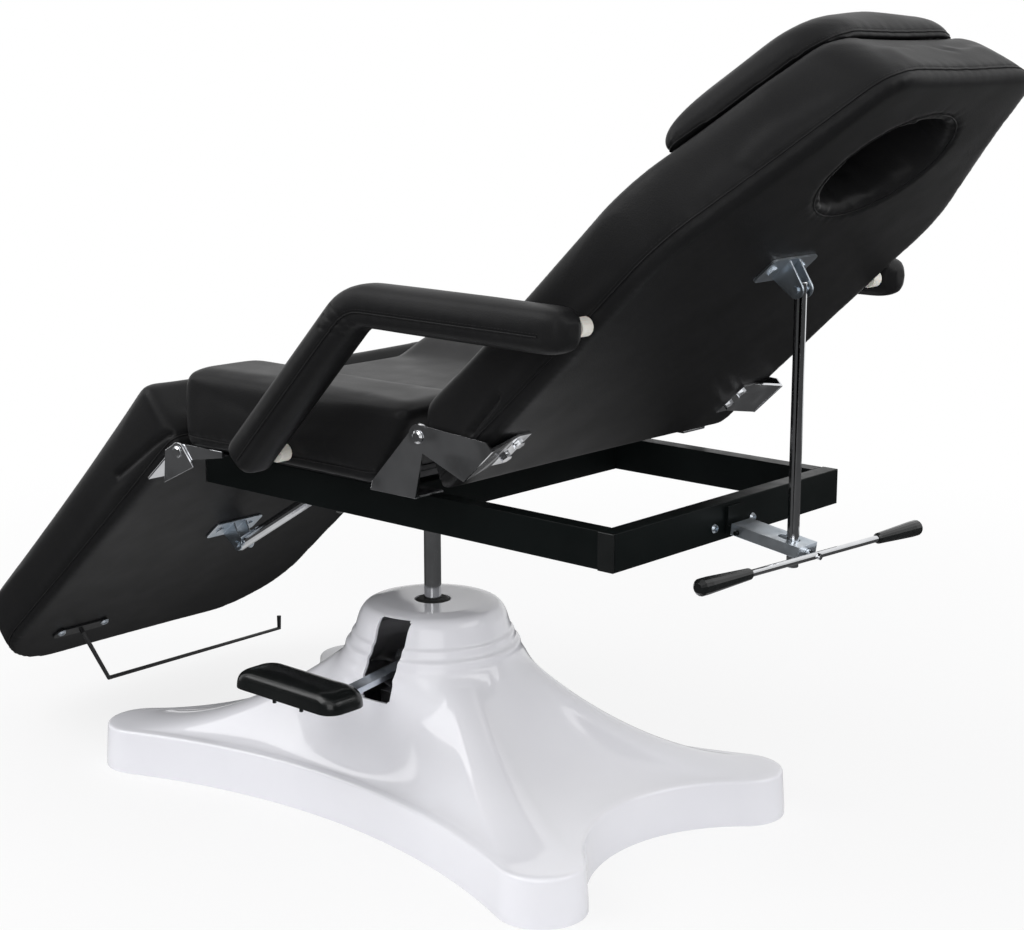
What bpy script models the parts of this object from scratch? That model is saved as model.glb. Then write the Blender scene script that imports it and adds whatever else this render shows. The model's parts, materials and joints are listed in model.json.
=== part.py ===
"""Hydraulic treatment table: padded leg rest, seat and backrest on a pumped, swivelling column.

Metres, +Z up. The origin is on the floor under the column. +X points to the head end, and the
table is shown with the leg rest hanging and the backrest raised. Left is the -Y side.
"""
import bpy
import bmesh
from math import atan2, ceil, cos, degrees, hypot, pi, radians, sin
from mathutils import Matrix, Vector

# Fits
TOUCH = 0.0003            # gap between pieces that rest on each other
RUN = 0.0003              # radial clearance of a pin in its hole
PLATE_GAP = 0.0006        # side gap between two hinge plates that pass each other

# Floor base
LOBE_X = 0.418
LOBE_Y = 0.231
LOBE_RADIUS = 0.064
WAIST_X = 0.378           # half length of the base between two lobes
WAIST_Y = 0.208           # half width of the base between two lobes
SKIRT_HEIGHT = 0.068
COVER_HEIGHT = 0.300
COVER_WALL = 0.004
RIDGE_POWER = 2.1         # how late the ridges climb to the dome
DOME_FOOT_RADIUS = 0.144
DOME_FOOT_HEIGHT = 0.212
DOME_TOP_RADIUS = 0.110
SKIRT_LIP = 0.012         # upright foot of the skirt, and depth of its rounded top
SKIRT_DRAFT = 0.004
SKIRT_ROUND = 0.016       # width of the skirt's rounded top
RIDGE_START = 0.001       # height of the ridges above the skirt where they begin
DOME_RING_LOW = 0.014     # the dome's steps, above its foot
DOME_RING_HIGH = 0.025
DOME_SHELF = 0.030
DOME_DRAFT = 0.002
DOME_TOP_DROP = 0.018     # depth and width of the dome's rounded top edge
DOME_TOP_ROUND = 0.030
FLOOR_PLATE = 0.006
SLOT_HALF_WIDTH = 0.027
SLOT_BOTTOM = 0.178
SLOT_TOP = 0.294
SLOT_INNER_Y = -0.085

# Column
ROD_RADIUS = 0.013
CYLINDER_RADIUS = 0.030
CYLINDER_BORE = 0.0235
CYLINDER_FLOOR = 0.012
GLAND_LENGTH = 0.028
PISTON_BOTTOM = 0.085
PISTON_LENGTH = 0.025
SEAL_RADIUS = 0.026
SEAL_HEIGHT = 0.010
SEAL_GAP = 0.002
SEAL_LIP = 0.002          # the seal stands this far above the cover
SEAL_CHAMFER = 0.004
ROD_CHAMFER = 0.001
HUB_RADIUS = 0.032
HUB_LENGTH = 0.040

# Pump and pedal
PEDAL_X = 0.020           # the pump and its pedal stand beside the column's axis
PUMP_HALF_WIDTH = 0.026
PUMP_OUTER_Y = -0.108
PUMP_TOP = 0.180
EAR_THICK = 0.008
EAR_MARGIN = 0.002        # material round the lever's boss
EAR_ROOT = 0.004          # depth of the ears in the pump block
PIN_OVERHANG = 0.003      # a pin's end outside its ears
PEDAL_PIVOT_Y = -0.064
PEDAL_PIVOT_Z = 0.222
PEDAL_PIN_RADIUS = 0.005
LEVER_HALF_WIDTH = 0.012
LEVER_THICK = 0.009
LEVER_BOSS_RADIUS = 0.011
LEVER_END_Y = -0.262
LEVER_END_Z = 0.203
LEVER_FLAT = 0.045        # level part of the lever before the pad's middle
LEVER_TIP = 0.020
PLUNGER_Y = -0.092
PLUNGER_RADIUS = 0.007
PLUNGER_LENGTH = 0.060
PLUNGER_STROKE = 0.012    # free depth under the plunger
PAD_LENGTH = 0.214        # pedal pad, along X
PAD_OFFSET = -0.037       # the pad's middle from the lever's
PAD_DEPTH = 0.078
PAD_HEIGHT = 0.030
PAD_CORNER = 0.024
PAD_WALL = 0.004
PAD_RIB = 0.020           # half length of the rib under the pad
STUD_RADIUS = 0.003       # two studs under the pad
STUD_DROP = 0.010
STUD_X = (-0.061, -0.004)
STUD_OUT = 0.026

# Steel seat frame
TUBE_HEIGHT = 0.050
TUBE_WIDTH = 0.025
TUBE_WALL = 0.002
FRAME_TOP = 0.541
FRAME_HALF_WIDTH = 0.250
FRAME_FRONT = -0.222
FRAME_REAR = 0.552
MIDDLE_BAR_REAR = 0.1745
CAP_FLANGE = 0.003
CAP_PLUG = 0.015
COLUMN_PLATE = 0.008
COLUMN_PLATE_HALF_LENGTH = 0.080
COLUMN_PLATE_SINK = 0.002 # the plate's top lies this far below the rails' top

# Upholstered panels
PAD_HALF_WIDTH = 0.310
BOARD_THICK = 0.030
BOARD_INSET = 0.022       # width of the cover folded under the panel's edge
SIDE_DRAW = 0.004         # how far a side is drawn in between its corners
CROWN = 0.007
SEAM_HEIGHT = 0.024       # sewn line above the underside
SEAM_DRAW = 0.0018
SHOULDER = 0.022          # depth of a pad's rounded top edge
EDGE_FOLD = 0.012         # width of a pad's rounded edge
EDGE_TURN = 0.0035
EDGE_RISE = 0.0012
FACET_SPACING = 0.12
SEAT_UNDERSIDE = 0.557
SEAT_THICK = 0.114
SEAT_DISH = 0.030         # the seat's middle lies this far below its sides
SEAT_DISH_INNER = 0.100   # half width of the dish's level part
SEAT_DISH_OUTER = 0.200
SEAT_FRONT = -0.200
SEAT_REAR = 0.262
SEAT_REAR_LEAN = 0.075    # the rear face leans over the hinge by this much
BATTEN_WIDTH = 0.024
BATTEN_SETBACK = 0.030    # battens start this far behind the seat's front
BACK_THICK = 0.105
BACK_UNDERSIDE = -0.072   # from the hinge axis, square to the panel
BACK_FOOT = -0.033        # lower end of the panel, along the panel from the hinge axis
BACK_FOOT_LEAN = 0.055
BACK_SHOULDER = 0.455
BACK_HEAD = 0.745
BACK_HEAD_HALF_WIDTH = 0.162
BACK_SHOULDER_RADIUS = 0.20
BACK_HEAD_RADIUS = 0.060
BACK_HEAD_LEAN = 0.040    # the head end's top edge lies this far behind its underside
BACK_ANGLE = 42.9
LEG_KNEE_THICK = 0.120
LEG_FOOT_THICK = 0.086
LEG_UNDERSIDE = 0.0103
LEG_KNEE = 0.004
LEG_FOOT = 0.712
LEG_ANGLE = 41.0
LEG_FOOT_CORNER = 0.140
CORNER_RADIUS = 0.016
FACE_HOLE_S = 0.585
FACE_HOLE_LENGTH = 0.164
FACE_HOLE_WIDTH = 0.206
PILLOW_LOW = 0.500
PILLOW_HIGH = 0.706
PILLOW_LOW_HALF_WIDTH = 0.262
PILLOW_HIGH_HALF_WIDTH = 0.135
PILLOW_THICK = 0.034
PILLOW_CROWN = 0.020
PILLOW_LOW_RADIUS = 0.040
PILLOW_HIGH_RADIUS = 0.090

# Hinges
BACK_HINGE_X = 0.284
BACK_HINGE_Z = 0.637
LEG_HINGE_X = -0.203
LEG_HINGE_Z = 0.550
SHEET = 0.003
PLATE_OUT = 0.0025        # between a pad's side and the hinge plates beside it
PLATE_Y = PAD_HALF_WIDTH + PLATE_OUT
EYE_RADIUS = 0.0165
HINGE_PIN_RADIUS = 0.006
FLANGE_GAP = 0.012        # between a seat rail and the hinge flanges beside it
FLANGE_INNER_Y = FRAME_HALF_WIDTH + FLANGE_GAP
BACK_BRACKET_LENGTH = 0.092
BACK_BRACKET_FRONT = 0.088
BACK_BRACKET_LIP = 0.010
LEG_BRACKET_LENGTH = 0.095
LEG_BRACKET_LIP = 0.006
LEG_FLANGE_START = 0.020
LEG_EYE_RADIUS = 0.014025
RIVET_RIM = 0.003         # a rivet's head reaches this far past its pin
RIVET_EDGE = 0.001
ARM_BEND_Y = 0.2566       # fold line of the backrest hinge arm
ARM_FLANGE_Y = 0.234
ARM_DROP = 0.0165         # how far the hinge arm dips below the panel
BACK_ARM_START = 0.026    # the hinge arm's flange, along the panel
BACK_ARM_END = 0.092
BACK_ARM_EDGE = 0.002
BACK_ARM_BOLT_INSET = 0.018
LEG_ARM_END = 0.086
LEG_ARM_START = 0.018
LEG_ARM_TOE = 0.014
LEG_ARM_HEEL = 0.036
LEG_ARM_SHOULDER = 0.022
LEG_ARM_KNEE = 0.058
LEG_ARM_STEP = 0.016
LEG_ARM_BOLT_INSET = 0.015
LEG_ARM_BOLT_IN = 0.018
BOLT_HEAD_RADIUS = 0.0075
BOLT_HEAD = 0.005

# Armrests
ARM_PIVOT_X = 0.023
ARM_PIVOT_Z = 0.580
ARM_FOOT_X = -0.005
ARM_FOOT_Z = 0.571
ARM_ELBOW_X = 0.223
ARM_ELBOW_Z = 0.807
ARM_REAR_X = 0.553
ARM_REAR_Z = 0.804
ARM_END_X = 0.576
ARM_OUT = 0.0505          # from a pad's side to the armrest's middle
ARM_CENTRE_Y = PAD_HALF_WIDTH + ARM_OUT
ARM_WIDTH = 0.060
ARM_HEIGHT = 0.058
ARM_TUBE_FOOT = 0.014     # tube below the front bolt
ARM_TUBE_REAR = 0.016     # tube behind the rear bolt
ARM_ELBOW_RADIUS = 0.072
ARM_TUBE_RADIUS = 0.010
ARM_BOLT_RADIUS = 0.005
ARM_SPACER_RADIUS = 0.012
ARM_BOLT_DEPTH = 0.024    # length of bolt screwed into the panel's board
ARM_SLIP_BACK = 0.0043    # travel of the rear bolt in its slot
ARM_SLIP_FORWARD = 0.0089
ARM_FOOT_ROUND = 0.014    # length of the rounded foot
ARM_REAR_ROUND = 0.034    # length of the rounded rear end
ARM_END_EDGE = 0.004
ARM_REAR_EDGE = 0.013
ARM_BOLT_END = 0.001      # bolt past the tube
ARM_HOLE_END = 0.003
ARM_HOLE_FREE = 0.004     # holes start this far outside the pad
ARM_HOLE_OUT = 0.020

# Struts and their clamps
STRUT_RADIUS = 0.008
STRUT_LENGTH = 0.360
BACK_CLEVIS_S = 0.394
BACK_CLEVIS_DROP = 0.036
CLAMP_OUT = 0.021         # clamp pin behind the rear bar
CLAMP_PIVOT_X = FRAME_REAR + CLAMP_OUT
CLAMP_PIVOT_Z = 0.503
CLAMP_TILT = 8.0          # the clamp jams on its strut at this angle
CLAMP_LENGTH = 0.096
CLAMP_HALF_WIDTH = 0.0215
CLAMP_SLIP = 0.0130       # travel of the strut in the clamp's slot
CLAMP_TAIL = 0.010
CLAMP_WEB_Z = 0.010
CLAMP_SKIRT_Z = -0.0055
CLAMP_PIN_RADIUS = 0.003
CLAMP_EAR = 0.004
CLAMP_EAR_HEIGHT = 0.032
LEG_STRUT_RADIUS = 0.010
LEG_STRUT_LENGTH = 0.322
LEG_STRUT_ANGLE = 31.0
LEG_CLEVIS_S = 0.333
LEG_CLEVIS_DROP = 0.035
LEG_CLAMP_OUT = 0.018     # clamp pivot in front of the front bar
LEG_CLAMP_PIVOT_Z = 0.500
LEG_CLAMP_LENGTH = 0.078
LEG_CLAMP_SLIP = 0.0042
LEG_CLAMP_SKIRT_Z = 0.008
LEG_CLAMP_TAIL = 0.008
CLEVIS_LENGTH = 0.044
CLEVIS_HALF_WIDTH = 0.050
CLEVIS_PIN_RADIUS = 0.005
CLEVIS_CORNER = 0.007
CLEVIS_PLAY = 0.0012      # side gap beside the strut
CLEVIS_EAR_RIM = 0.006
CLEVIS_EAR_INSET = 0.004
STRUT_END = 0.005         # strut above its pin hole
CLAMP_EAR_RIM = 0.007
CLAMP_INNER_RIM = 0.0033  # rim of ears that stand inside the clamp
CLAMP_EAR_FOOT = 0.004    # bracket below its pin
CLAMP_PIN_END = 0.004
CLAMP_PLAY = 0.0008
CLAMP_STOP = 0.0006
HOLE_REACH = 0.050        # half length of the drills for pin holes
SPINDLE_HOLE = 0.020
SPINDLE_END = 0.003
SCREW_GAP = 0.004         # between a clamp screw and its strut
KNOB_SCREW_GAP = 0.0035
SPINDLE_RADIUS = 0.0042
HANDLE_OUT = 0.110        # from the clamp's pivot to the cross bar
HANDLE_RADIUS = 0.0046
HANDLE_TURN = -2.5
HANDLE_HALF_LENGTH = 0.258
GRIP_LENGTH = 0.110
GRIP_RADIUS = 0.011
GRIP_NECK_RADIUS = 0.0075
GRIP_STOP = 0.012         # grip past the end of the bar
GRIP_END_ROUND = 0.006
GRIP_END_NARROW = 0.005
GRIP_BULGE = 0.020
GRIP_COLLAR = 0.004
GRIP_COLLAR_STEP = 0.002
KNOB_RADIUS = 0.018
KNOB_LENGTH = 0.022
KNOB_GAP = 0.006          # between the knob and its clamp
KNOB_EDGE = 0.004
KNOB_BACK = 0.007

# Paper roll holder under the foot end
HOLDER_S = 0.612
HOLDER_Y = -0.168
HOLDER_HALF_LENGTH = 0.055
HOLDER_HALF_WIDTH = 0.013
WIRE_RADIUS = 0.004
WIRE_S = 0.702
WIRE_DROP = 0.070
WIRE_NEAR_Y = -0.098
WIRE_FAR_Y = 0.298
WIRE_TIP = 0.024
WIRE_FLARE = 0.002

# Facets
ROUND = 24
SMALL_ROUND = 16

# Finishes: colour, roughness, metallic
FINISHES = {
    "vinyl": ((0.012, 0.012, 0.013), 0.45, 0.0),
    "board": ((0.020, 0.020, 0.021), 0.80, 0.0),
    "frame_paint": ((0.013, 0.015, 0.015), 0.38, 0.0),
    "chrome": ((0.62, 0.63, 0.65), 0.12, 1.0),
    "zinc": ((0.46, 0.50, 0.54), 0.30, 1.0),
    "steel": ((0.32, 0.32, 0.33), 0.45, 1.0),
    "white_plastic": ((0.80, 0.80, 0.84), 0.22, 0.0),
    "black_plastic": ((0.014, 0.014, 0.015), 0.30, 0.0),
    "nylon": ((0.72, 0.70, 0.64), 0.40, 0.0),
    "rubber": ((0.020, 0.020, 0.020), 0.70, 0.0),
    "wire": ((0.030, 0.030, 0.032), 0.35, 0.4),
}

SIDES = {"left": -1, "right": 1}


# Scene set-up

def clear_scene():
    for obj in list(bpy.data.objects):
        bpy.data.objects.remove(obj, do_unlink=True)


def new_collection(name):
    collection = bpy.data.collections.new(name)
    bpy.context.scene.collection.children.link(collection)
    return collection


def material(name, finish):
    colour, roughness, metallic = FINISHES[finish]
    made = bpy.data.materials.new(name + "_" + finish)
    made.use_nodes = True
    shader = made.node_tree.nodes["Principled BSDF"]
    shader.inputs["Base Color"].default_value = (*colour, 1.0)
    shader.inputs["Roughness"].default_value = roughness
    shader.inputs["Metallic"].default_value = metallic
    return made


clear_scene()
PARTS = new_collection("treatment_table")
CUTTERS = new_collection("cutters")


def joint_empty(name, location, tilt=0.0):
    """An empty on a joint's axis, turned about Y so that its children are drawn square."""
    empty = bpy.data.objects.new(name, None)
    empty.location = location
    empty.rotation_euler = (0.0, radians(tilt), 0.0)
    PARTS.objects.link(empty)
    return empty


def place(obj, parent, location):
    obj.location = location
    if parent:
        obj.parent = parent


def piece(name, mesh, finish, parent=None, location=(0.0, 0.0, 0.0), smooth=35.0):
    """One named sub-part with its own material."""
    mesh.name = name
    mesh.materials.clear()
    mesh.materials.append(material(name, finish))
    mesh.shade_smooth()
    mesh.set_sharp_from_angle(angle=radians(smooth))
    obj = bpy.data.objects.new(name, mesh)
    PARTS.objects.link(obj)
    place(obj, parent, location)
    return obj


def helper(name, mesh, parent=None, location=(0.0, 0.0, 0.0)):
    """A shape that cuts or joins a sub-part and isn't one itself."""
    obj = bpy.data.objects.new(name, mesh)
    CUTTERS.objects.link(obj)
    obj.hide_render = True
    obj.display_type = "WIRE"
    place(obj, parent, location)
    return obj


def combine(obj, other, operation):
    modifier = obj.modifiers.new(operation.lower() + "_" + other.name, "BOOLEAN")
    modifier.operation = operation
    modifier.object = other


def cut(obj, *others):
    for other in others:
        combine(obj, other, "DIFFERENCE")


def join(obj, *others):
    for other in others:
        combine(obj, other, "UNION")


# Shapes

def mesh_from(bm):
    mesh = bpy.data.meshes.new("shape")
    bm.to_mesh(mesh)
    bm.free()
    return mesh


def evaluated(obj):
    """The finished mesh of a guide object, which is then removed."""
    bpy.context.scene.collection.objects.link(obj)
    graph = bpy.context.evaluated_depsgraph_get()
    mesh = bpy.data.meshes.new_from_object(obj.evaluated_get(graph))
    bpy.data.objects.remove(obj, do_unlink=True)
    bm = bmesh.new()
    bm.from_mesh(mesh)
    bmesh.ops.remove_doubles(bm, verts=bm.verts, dist=0.000002)
    bmesh.ops.recalc_face_normals(bm, faces=bm.faces)
    return mesh_from(bm)


def box(low, high):
    bm = bmesh.new()
    bmesh.ops.create_cube(bm, size=1.0)
    size = Vector(high) - Vector(low)
    middle = (Vector(high) + Vector(low)) / 2.0
    bmesh.ops.transform(bm, matrix=Matrix.Translation(middle) @ Matrix.Diagonal((*size, 1.0)), verts=bm.verts)
    return mesh_from(bm)


def rod(start, end, radius, sides=SMALL_ROUND, end_radius=None):
    """A round bar, or a cone, between two points."""
    start = Vector(start)
    along = Vector(end) - start
    turn = Vector((0.0, 0.0, 1.0)).rotation_difference(along.normalized()).to_matrix().to_4x4()
    bm = bmesh.new()
    bmesh.ops.create_cone(
        bm, cap_ends=True, segments=sides, radius1=radius,
        radius2=radius if end_radius is None else end_radius, depth=along.length,
        matrix=Matrix.Translation(start + along / 2.0) @ turn)
    return mesh_from(bm)


def arc(centre, radius, start, end, steps):
    """Points on an arc, with angles in degrees."""
    points = []
    for step in range(steps + 1):
        angle = radians(start + (end - start) * step / steps)
        points.append((centre[0] + radius * cos(angle), centre[1] + radius * sin(angle)))
    return points


def circle(centre, radius, sides=SMALL_ROUND):
    return arc(centre, radius, 0.0, 360.0, sides)[:-1]


def rectangle(low, high):
    return [(low[0], low[1]), (high[0], low[1]), (high[0], high[1]), (low[0], high[1])]


def stadium(centre, radius, back, ahead, angle, steps=8):
    """A slot outline that runs from back to ahead of its centre, along an angle in degrees."""
    along = (cos(radians(angle)), sin(radians(angle)))
    tip = (centre[0] + ahead * along[0], centre[1] + ahead * along[1])
    tail = (centre[0] - back * along[0], centre[1] - back * along[1])
    return (arc(tip, radius, angle - 90.0, angle + 90.0, steps)
            + arc(tail, radius, angle + 90.0, angle + 270.0, steps))


AXIS_TURN = {
    "X": Matrix(((0, 0, 1, 0), (1, 0, 0, 0), (0, 1, 0, 0), (0, 0, 0, 1))),
    "Y": Matrix(((1, 0, 0, 0), (0, 0, -1, 0), (0, 1, 0, 0), (0, 0, 0, 1))),
    "Z": Matrix.Identity(4),
}


def extruded(outlines, axis, one_end, other_end):
    """Outlines in the plane square to an axis, filled between, and given a thickness along it."""
    curve = bpy.data.curves.new("outline", "CURVE")
    curve.dimensions = "2D"
    curve.fill_mode = "BOTH"
    curve.extrude = abs(other_end - one_end) / 2.0
    for outline in outlines:
        spline = curve.splines.new("POLY")
        spline.points.add(len(outline) - 1)
        spline.use_cyclic_u = True
        for point, (u, v) in zip(spline.points, outline):
            point.co = (u, v, 0.0, 1.0)
    mesh = evaluated(bpy.data.objects.new("outline", curve))
    middle = (one_end + other_end) / 2.0
    shift = {"X": (middle, 0.0, 0.0), "Y": (0.0, middle, 0.0), "Z": (0.0, 0.0, middle)}[axis]
    mesh.transform(Matrix.Translation(shift) @ AXIS_TURN[axis])
    return mesh


def turned(profile, steps=ROUND, closed=False):
    """A profile of (radius, height) points, listed down its outer side, spun about Z."""
    mesh = bpy.data.meshes.new("profile")
    count = len(profile)
    edges = [(i, i + 1) for i in range(count - 1)]
    if closed:
        edges.append((count - 1, 0))
    mesh.from_pydata([(radius, 0.0, height) for radius, height in profile], edges, [])
    obj = bpy.data.objects.new("profile", mesh)
    screw = obj.modifiers.new("spin", "SCREW")
    screw.steps = steps
    screw.render_steps = steps
    screw.use_merge_vertices = True
    screw.merge_threshold = 0.00001
    return evaluated(obj)


def swept(points, radius, resolution=2):
    """A round bar along a path."""
    curve = bpy.data.curves.new("path", "CURVE")
    curve.dimensions = "3D"
    curve.bevel_depth = radius
    curve.bevel_resolution = resolution
    curve.use_fill_caps = True
    curve.twist_mode = "MINIMUM"
    spline = curve.splines.new("POLY")
    spline.points.add(len(points) - 1)
    for point, place_on_path in zip(spline.points, points):
        point.co = (*place_on_path, 1.0)
    return evaluated(bpy.data.objects.new("path", curve))


def loft(rings, low_cap=True, top_cap=True):
    """A skin through rings of as many points each, from the first ring to the last."""
    bm = bmesh.new()
    rows = [[bm.verts.new(point) for point in ring] for ring in rings]
    count = len(rows[0])
    for lower, upper in zip(rows, rows[1:]):
        for i in range(count):
            j = (i + 1) % count
            bm.faces.new((lower[i], lower[j], upper[j], upper[i]))
    if low_cap:
        bm.faces.new(rows[0])
    if top_cap:
        bm.faces.new(rows[-1])
    bmesh.ops.recalc_face_normals(bm, faces=bm.faces)
    return mesh_from(bm)


def moved(mesh, matrix):
    mesh.transform(matrix)
    return mesh


# Outlines of the upholstered panels

def rounded_outline(corners, radii, draw, arc_steps=4, spacing=FACET_SPACING):
    """A polygon with rounded corners, whose straight sides are drawn in between them."""
    points = []
    count = len(corners)
    arcs = []
    for i, corner in enumerate(corners):
        here = Vector(corner)
        before = (Vector(corners[i - 1]) - here).normalized()
        after = (Vector(corners[(i + 1) % count]) - here).normalized()
        half = before.angle(after) / 2.0
        reach = radii[i] / abs(sin(half) / cos(half))
        centre = here + (before + after).normalized() * radii[i] / sin(half)
        first = here + before * reach - centre
        last = here + after * reach - centre
        start = degrees(atan2(first.y, first.x))
        sweep = (degrees(atan2(last.y, last.x)) - start + 180.0) % 360.0 - 180.0
        arcs.append(arc(centre, radii[i], start, start + sweep, arc_steps))
    for i in range(count):
        points += arcs[i]
        one = Vector(arcs[i][-1])
        two = Vector(arcs[(i + 1) % count][0])
        pieces = max(1, ceil((two - one).length / spacing))
        along = (two - one).normalized()
        inward = Vector((-along.y, along.x))
        for step in range(1, pieces):
            share = step / pieces
            point = one.lerp(two, share) + inward * draw * sin(pi * share)
            points.append((point.x, point.y))
    return points


def towards_spine(outline, inset, share=0.0):
    """The outline moved towards the panel's middle line by a distance, or by a share of the way."""
    low = min(point[0] for point in outline)
    high = max(point[0] for point in outline)
    half = max(point[1] for point in outline)
    room = min(half, (high - low) / 2.0) * 0.9
    moved_points = []
    for s, y in outline:
        spine_s = min(max(s, low + room), high - room)
        spine_y = min(max(y, room - half), half - room)
        part = share if share else inset / hypot(s - spine_s, y - spine_y)
        moved_points.append((s + (spine_s - s) * part, y + (spine_y - y) * part))
    return moved_points


def lean_none(s, height):
    return 0.0


def swell_none(s, y):
    return 1.0


def cushion_mesh(outline, underside, thick, crown, lean=lean_none, swell=swell_none):
    """A crowned pad: cover folded under, sides drawn in along the seam, rounded top edge."""
    seam = min(SEAM_HEIGHT, thick / 4.0)
    shoulder = min(SHOULDER, thick * 0.4)
    steps = (
        (EDGE_FOLD, 0.0), (EDGE_TURN, EDGE_RISE), (0.0, seam * 0.4), (SEAM_DRAW, seam), (0.0, seam * 1.6),
        (0.0, thick - shoulder), (EDGE_TURN, thick - shoulder * 0.4), (EDGE_FOLD, thick - shoulder * 0.07))
    levels = [(towards_spine(outline, inset), height) for inset, height in steps]
    for share, rise in ((0.16, 0.40), (0.42, 0.84), (0.90, 1.0)):
        levels.append((towards_spine(outline, 0.0, share), thick + crown * rise))
    rings = []
    for ring, height in levels:
        rings.append([(s + lean(s, height), y, underside + height * swell(s, y)) for s, y in ring])
    return loft(rings)


def board_outline(outline, lean=lean_none):
    return [(s + lean(s, 0.0), y) for s, y in towards_spine(outline, BOARD_INSET)]


def grown(outline, extra):
    """An outline made larger all round, for a pocket around it."""
    return towards_spine(outline, -extra)


def oval(centre_s, length, width, sides=28):
    points = []
    for step in range(sides):
        angle = 2.0 * pi * step / sides
        points.append((centre_s + length / 2.0 * cos(angle), width / 2.0 * sin(angle)))
    return points


def panel(name, outline, underside, thick, crown, parent, lean=lean_none, swell=swell_none, hole=None):
    """A board and the cushion that wraps it, with a pocket for the board."""
    board_shape = board_outline(outline, lean)
    board_splines = [board_shape]
    if hole:
        board_splines.append(hole)
    board_low = underside + TOUCH
    board = piece(name + "_board", extruded(board_splines, "Z", board_low, underside + BOARD_THICK),
                  "board", parent)
    shape = cushion_mesh(outline, underside, thick, crown, lean, swell)
    cushion = piece(name + "_cushion", shape, "vinyl", parent)
    pocket_low = underside - BOARD_THICK
    pocket_high = underside + BOARD_THICK + TOUCH
    pocket = extruded([grown(board_shape, TOUCH)], "Z", pocket_low, pocket_high)
    cut(cushion, helper(name + "_pocket", pocket, parent))
    if hole:
        through = extruded([hole], "Z", pocket_low, underside + 2.0 * thick)
        cut(cushion, helper(name + "_face_hole", through, parent))
    return board, cushion


# Base

def base_outline(inset=0.0):
    """Four round lobes joined by hollow sides, each side an arc that meets two lobes smoothly."""
    lobe = LOBE_RADIUS - inset

    def hollow(along, across, waist):
        offset = waist - across
        radius = (along ** 2 + offset ** 2 - LOBE_RADIUS ** 2) / (2.0 * (LOBE_RADIUS - offset))
        return radius, degrees(atan2(along, waist + radius - across))

    end_radius, end_angle = hollow(LOBE_Y, LOBE_X, WAIST_X)
    side_radius, side_angle = hollow(LOBE_X, LOBE_Y, WAIST_Y)
    points = []
    for x_sign, y_sign, turn in ((1, 1, 0), (-1, 1, 90), (-1, -1, 180), (1, -1, 270)):
        along_x = turn % 180 == 0
        before = -end_angle if along_x else -side_angle
        after = 90.0 + (side_angle if along_x else end_angle)
        centre = (x_sign * LOBE_X, y_sign * LOBE_Y)
        points += arc(centre, lobe, turn + before, turn + after, 7)
        if along_x:
            middle, radius, angle, steps = (0.0, y_sign * (WAIST_Y + side_radius)), side_radius, side_angle, 6
        else:
            middle, radius, angle, steps = (x_sign * (WAIST_X + end_radius), 0.0), end_radius, end_angle, 4
        points += arc(middle, radius + inset, turn - 90.0 + angle, turn - 90.0 - angle, steps)[1:-1]
    return points


def cover_rings():
    """Rings from the floor up the skirt, along the ridges and up the stepped dome."""
    outline = base_outline()
    rise = DOME_FOOT_HEIGHT - SKIRT_HEIGHT
    start = SKIRT_HEIGHT + RIDGE_START
    levels = [(0.0, 0.0, 0.0), (0.0, 0.0, SKIRT_LIP), (0.0, SKIRT_DRAFT, SKIRT_HEIGHT - SKIRT_LIP)]
    levels += [(0.0, SKIRT_ROUND / 2.0, SKIRT_HEIGHT - SKIRT_LIP / 4.0), (0.0, SKIRT_ROUND, start)]
    for share in (0.25, 0.50, 0.72, 0.88, 1.0):
        levels.append((share, SKIRT_ROUND * (1.0 - share), start + rise * share ** RIDGE_POWER))
    rings = []
    for share, inset, height in levels:
        ring = []
        for (x, y), (inner_x, inner_y) in zip(outline, base_outline(inset)):
            angle = atan2(y, x)
            ring.append((inner_x * (1.0 - share) + DOME_FOOT_RADIUS * cos(angle) * share,
                         inner_y * (1.0 - share) + DOME_FOOT_RADIUS * sin(angle) * share, height))
        rings.append(ring)
    step = (DOME_FOOT_RADIUS - DOME_TOP_RADIUS) / 4.0
    dome = (
        (DOME_FOOT_RADIUS - step, DOME_FOOT_HEIGHT + DOME_RING_LOW),
        (DOME_FOOT_RADIUS - step - DOME_DRAFT, DOME_FOOT_HEIGHT + DOME_RING_HIGH),
        (DOME_FOOT_RADIUS - 2.0 * step, DOME_FOOT_HEIGHT + DOME_SHELF),
        (DOME_TOP_RADIUS + DOME_DRAFT, COVER_HEIGHT - DOME_TOP_DROP),
        (DOME_TOP_RADIUS - DOME_TOP_ROUND / 4.0, COVER_HEIGHT - DOME_TOP_DROP / 4.0),
        (DOME_TOP_RADIUS - DOME_TOP_ROUND, COVER_HEIGHT),
        (SEAL_RADIUS + SEAL_GAP, COVER_HEIGHT))
    for radius, height in dome:
        ring = []
        for x, y in outline:
            angle = atan2(y, x)
            ring.append((radius * cos(angle), radius * sin(angle), height))
        rings.append(ring)
    return rings


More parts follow.
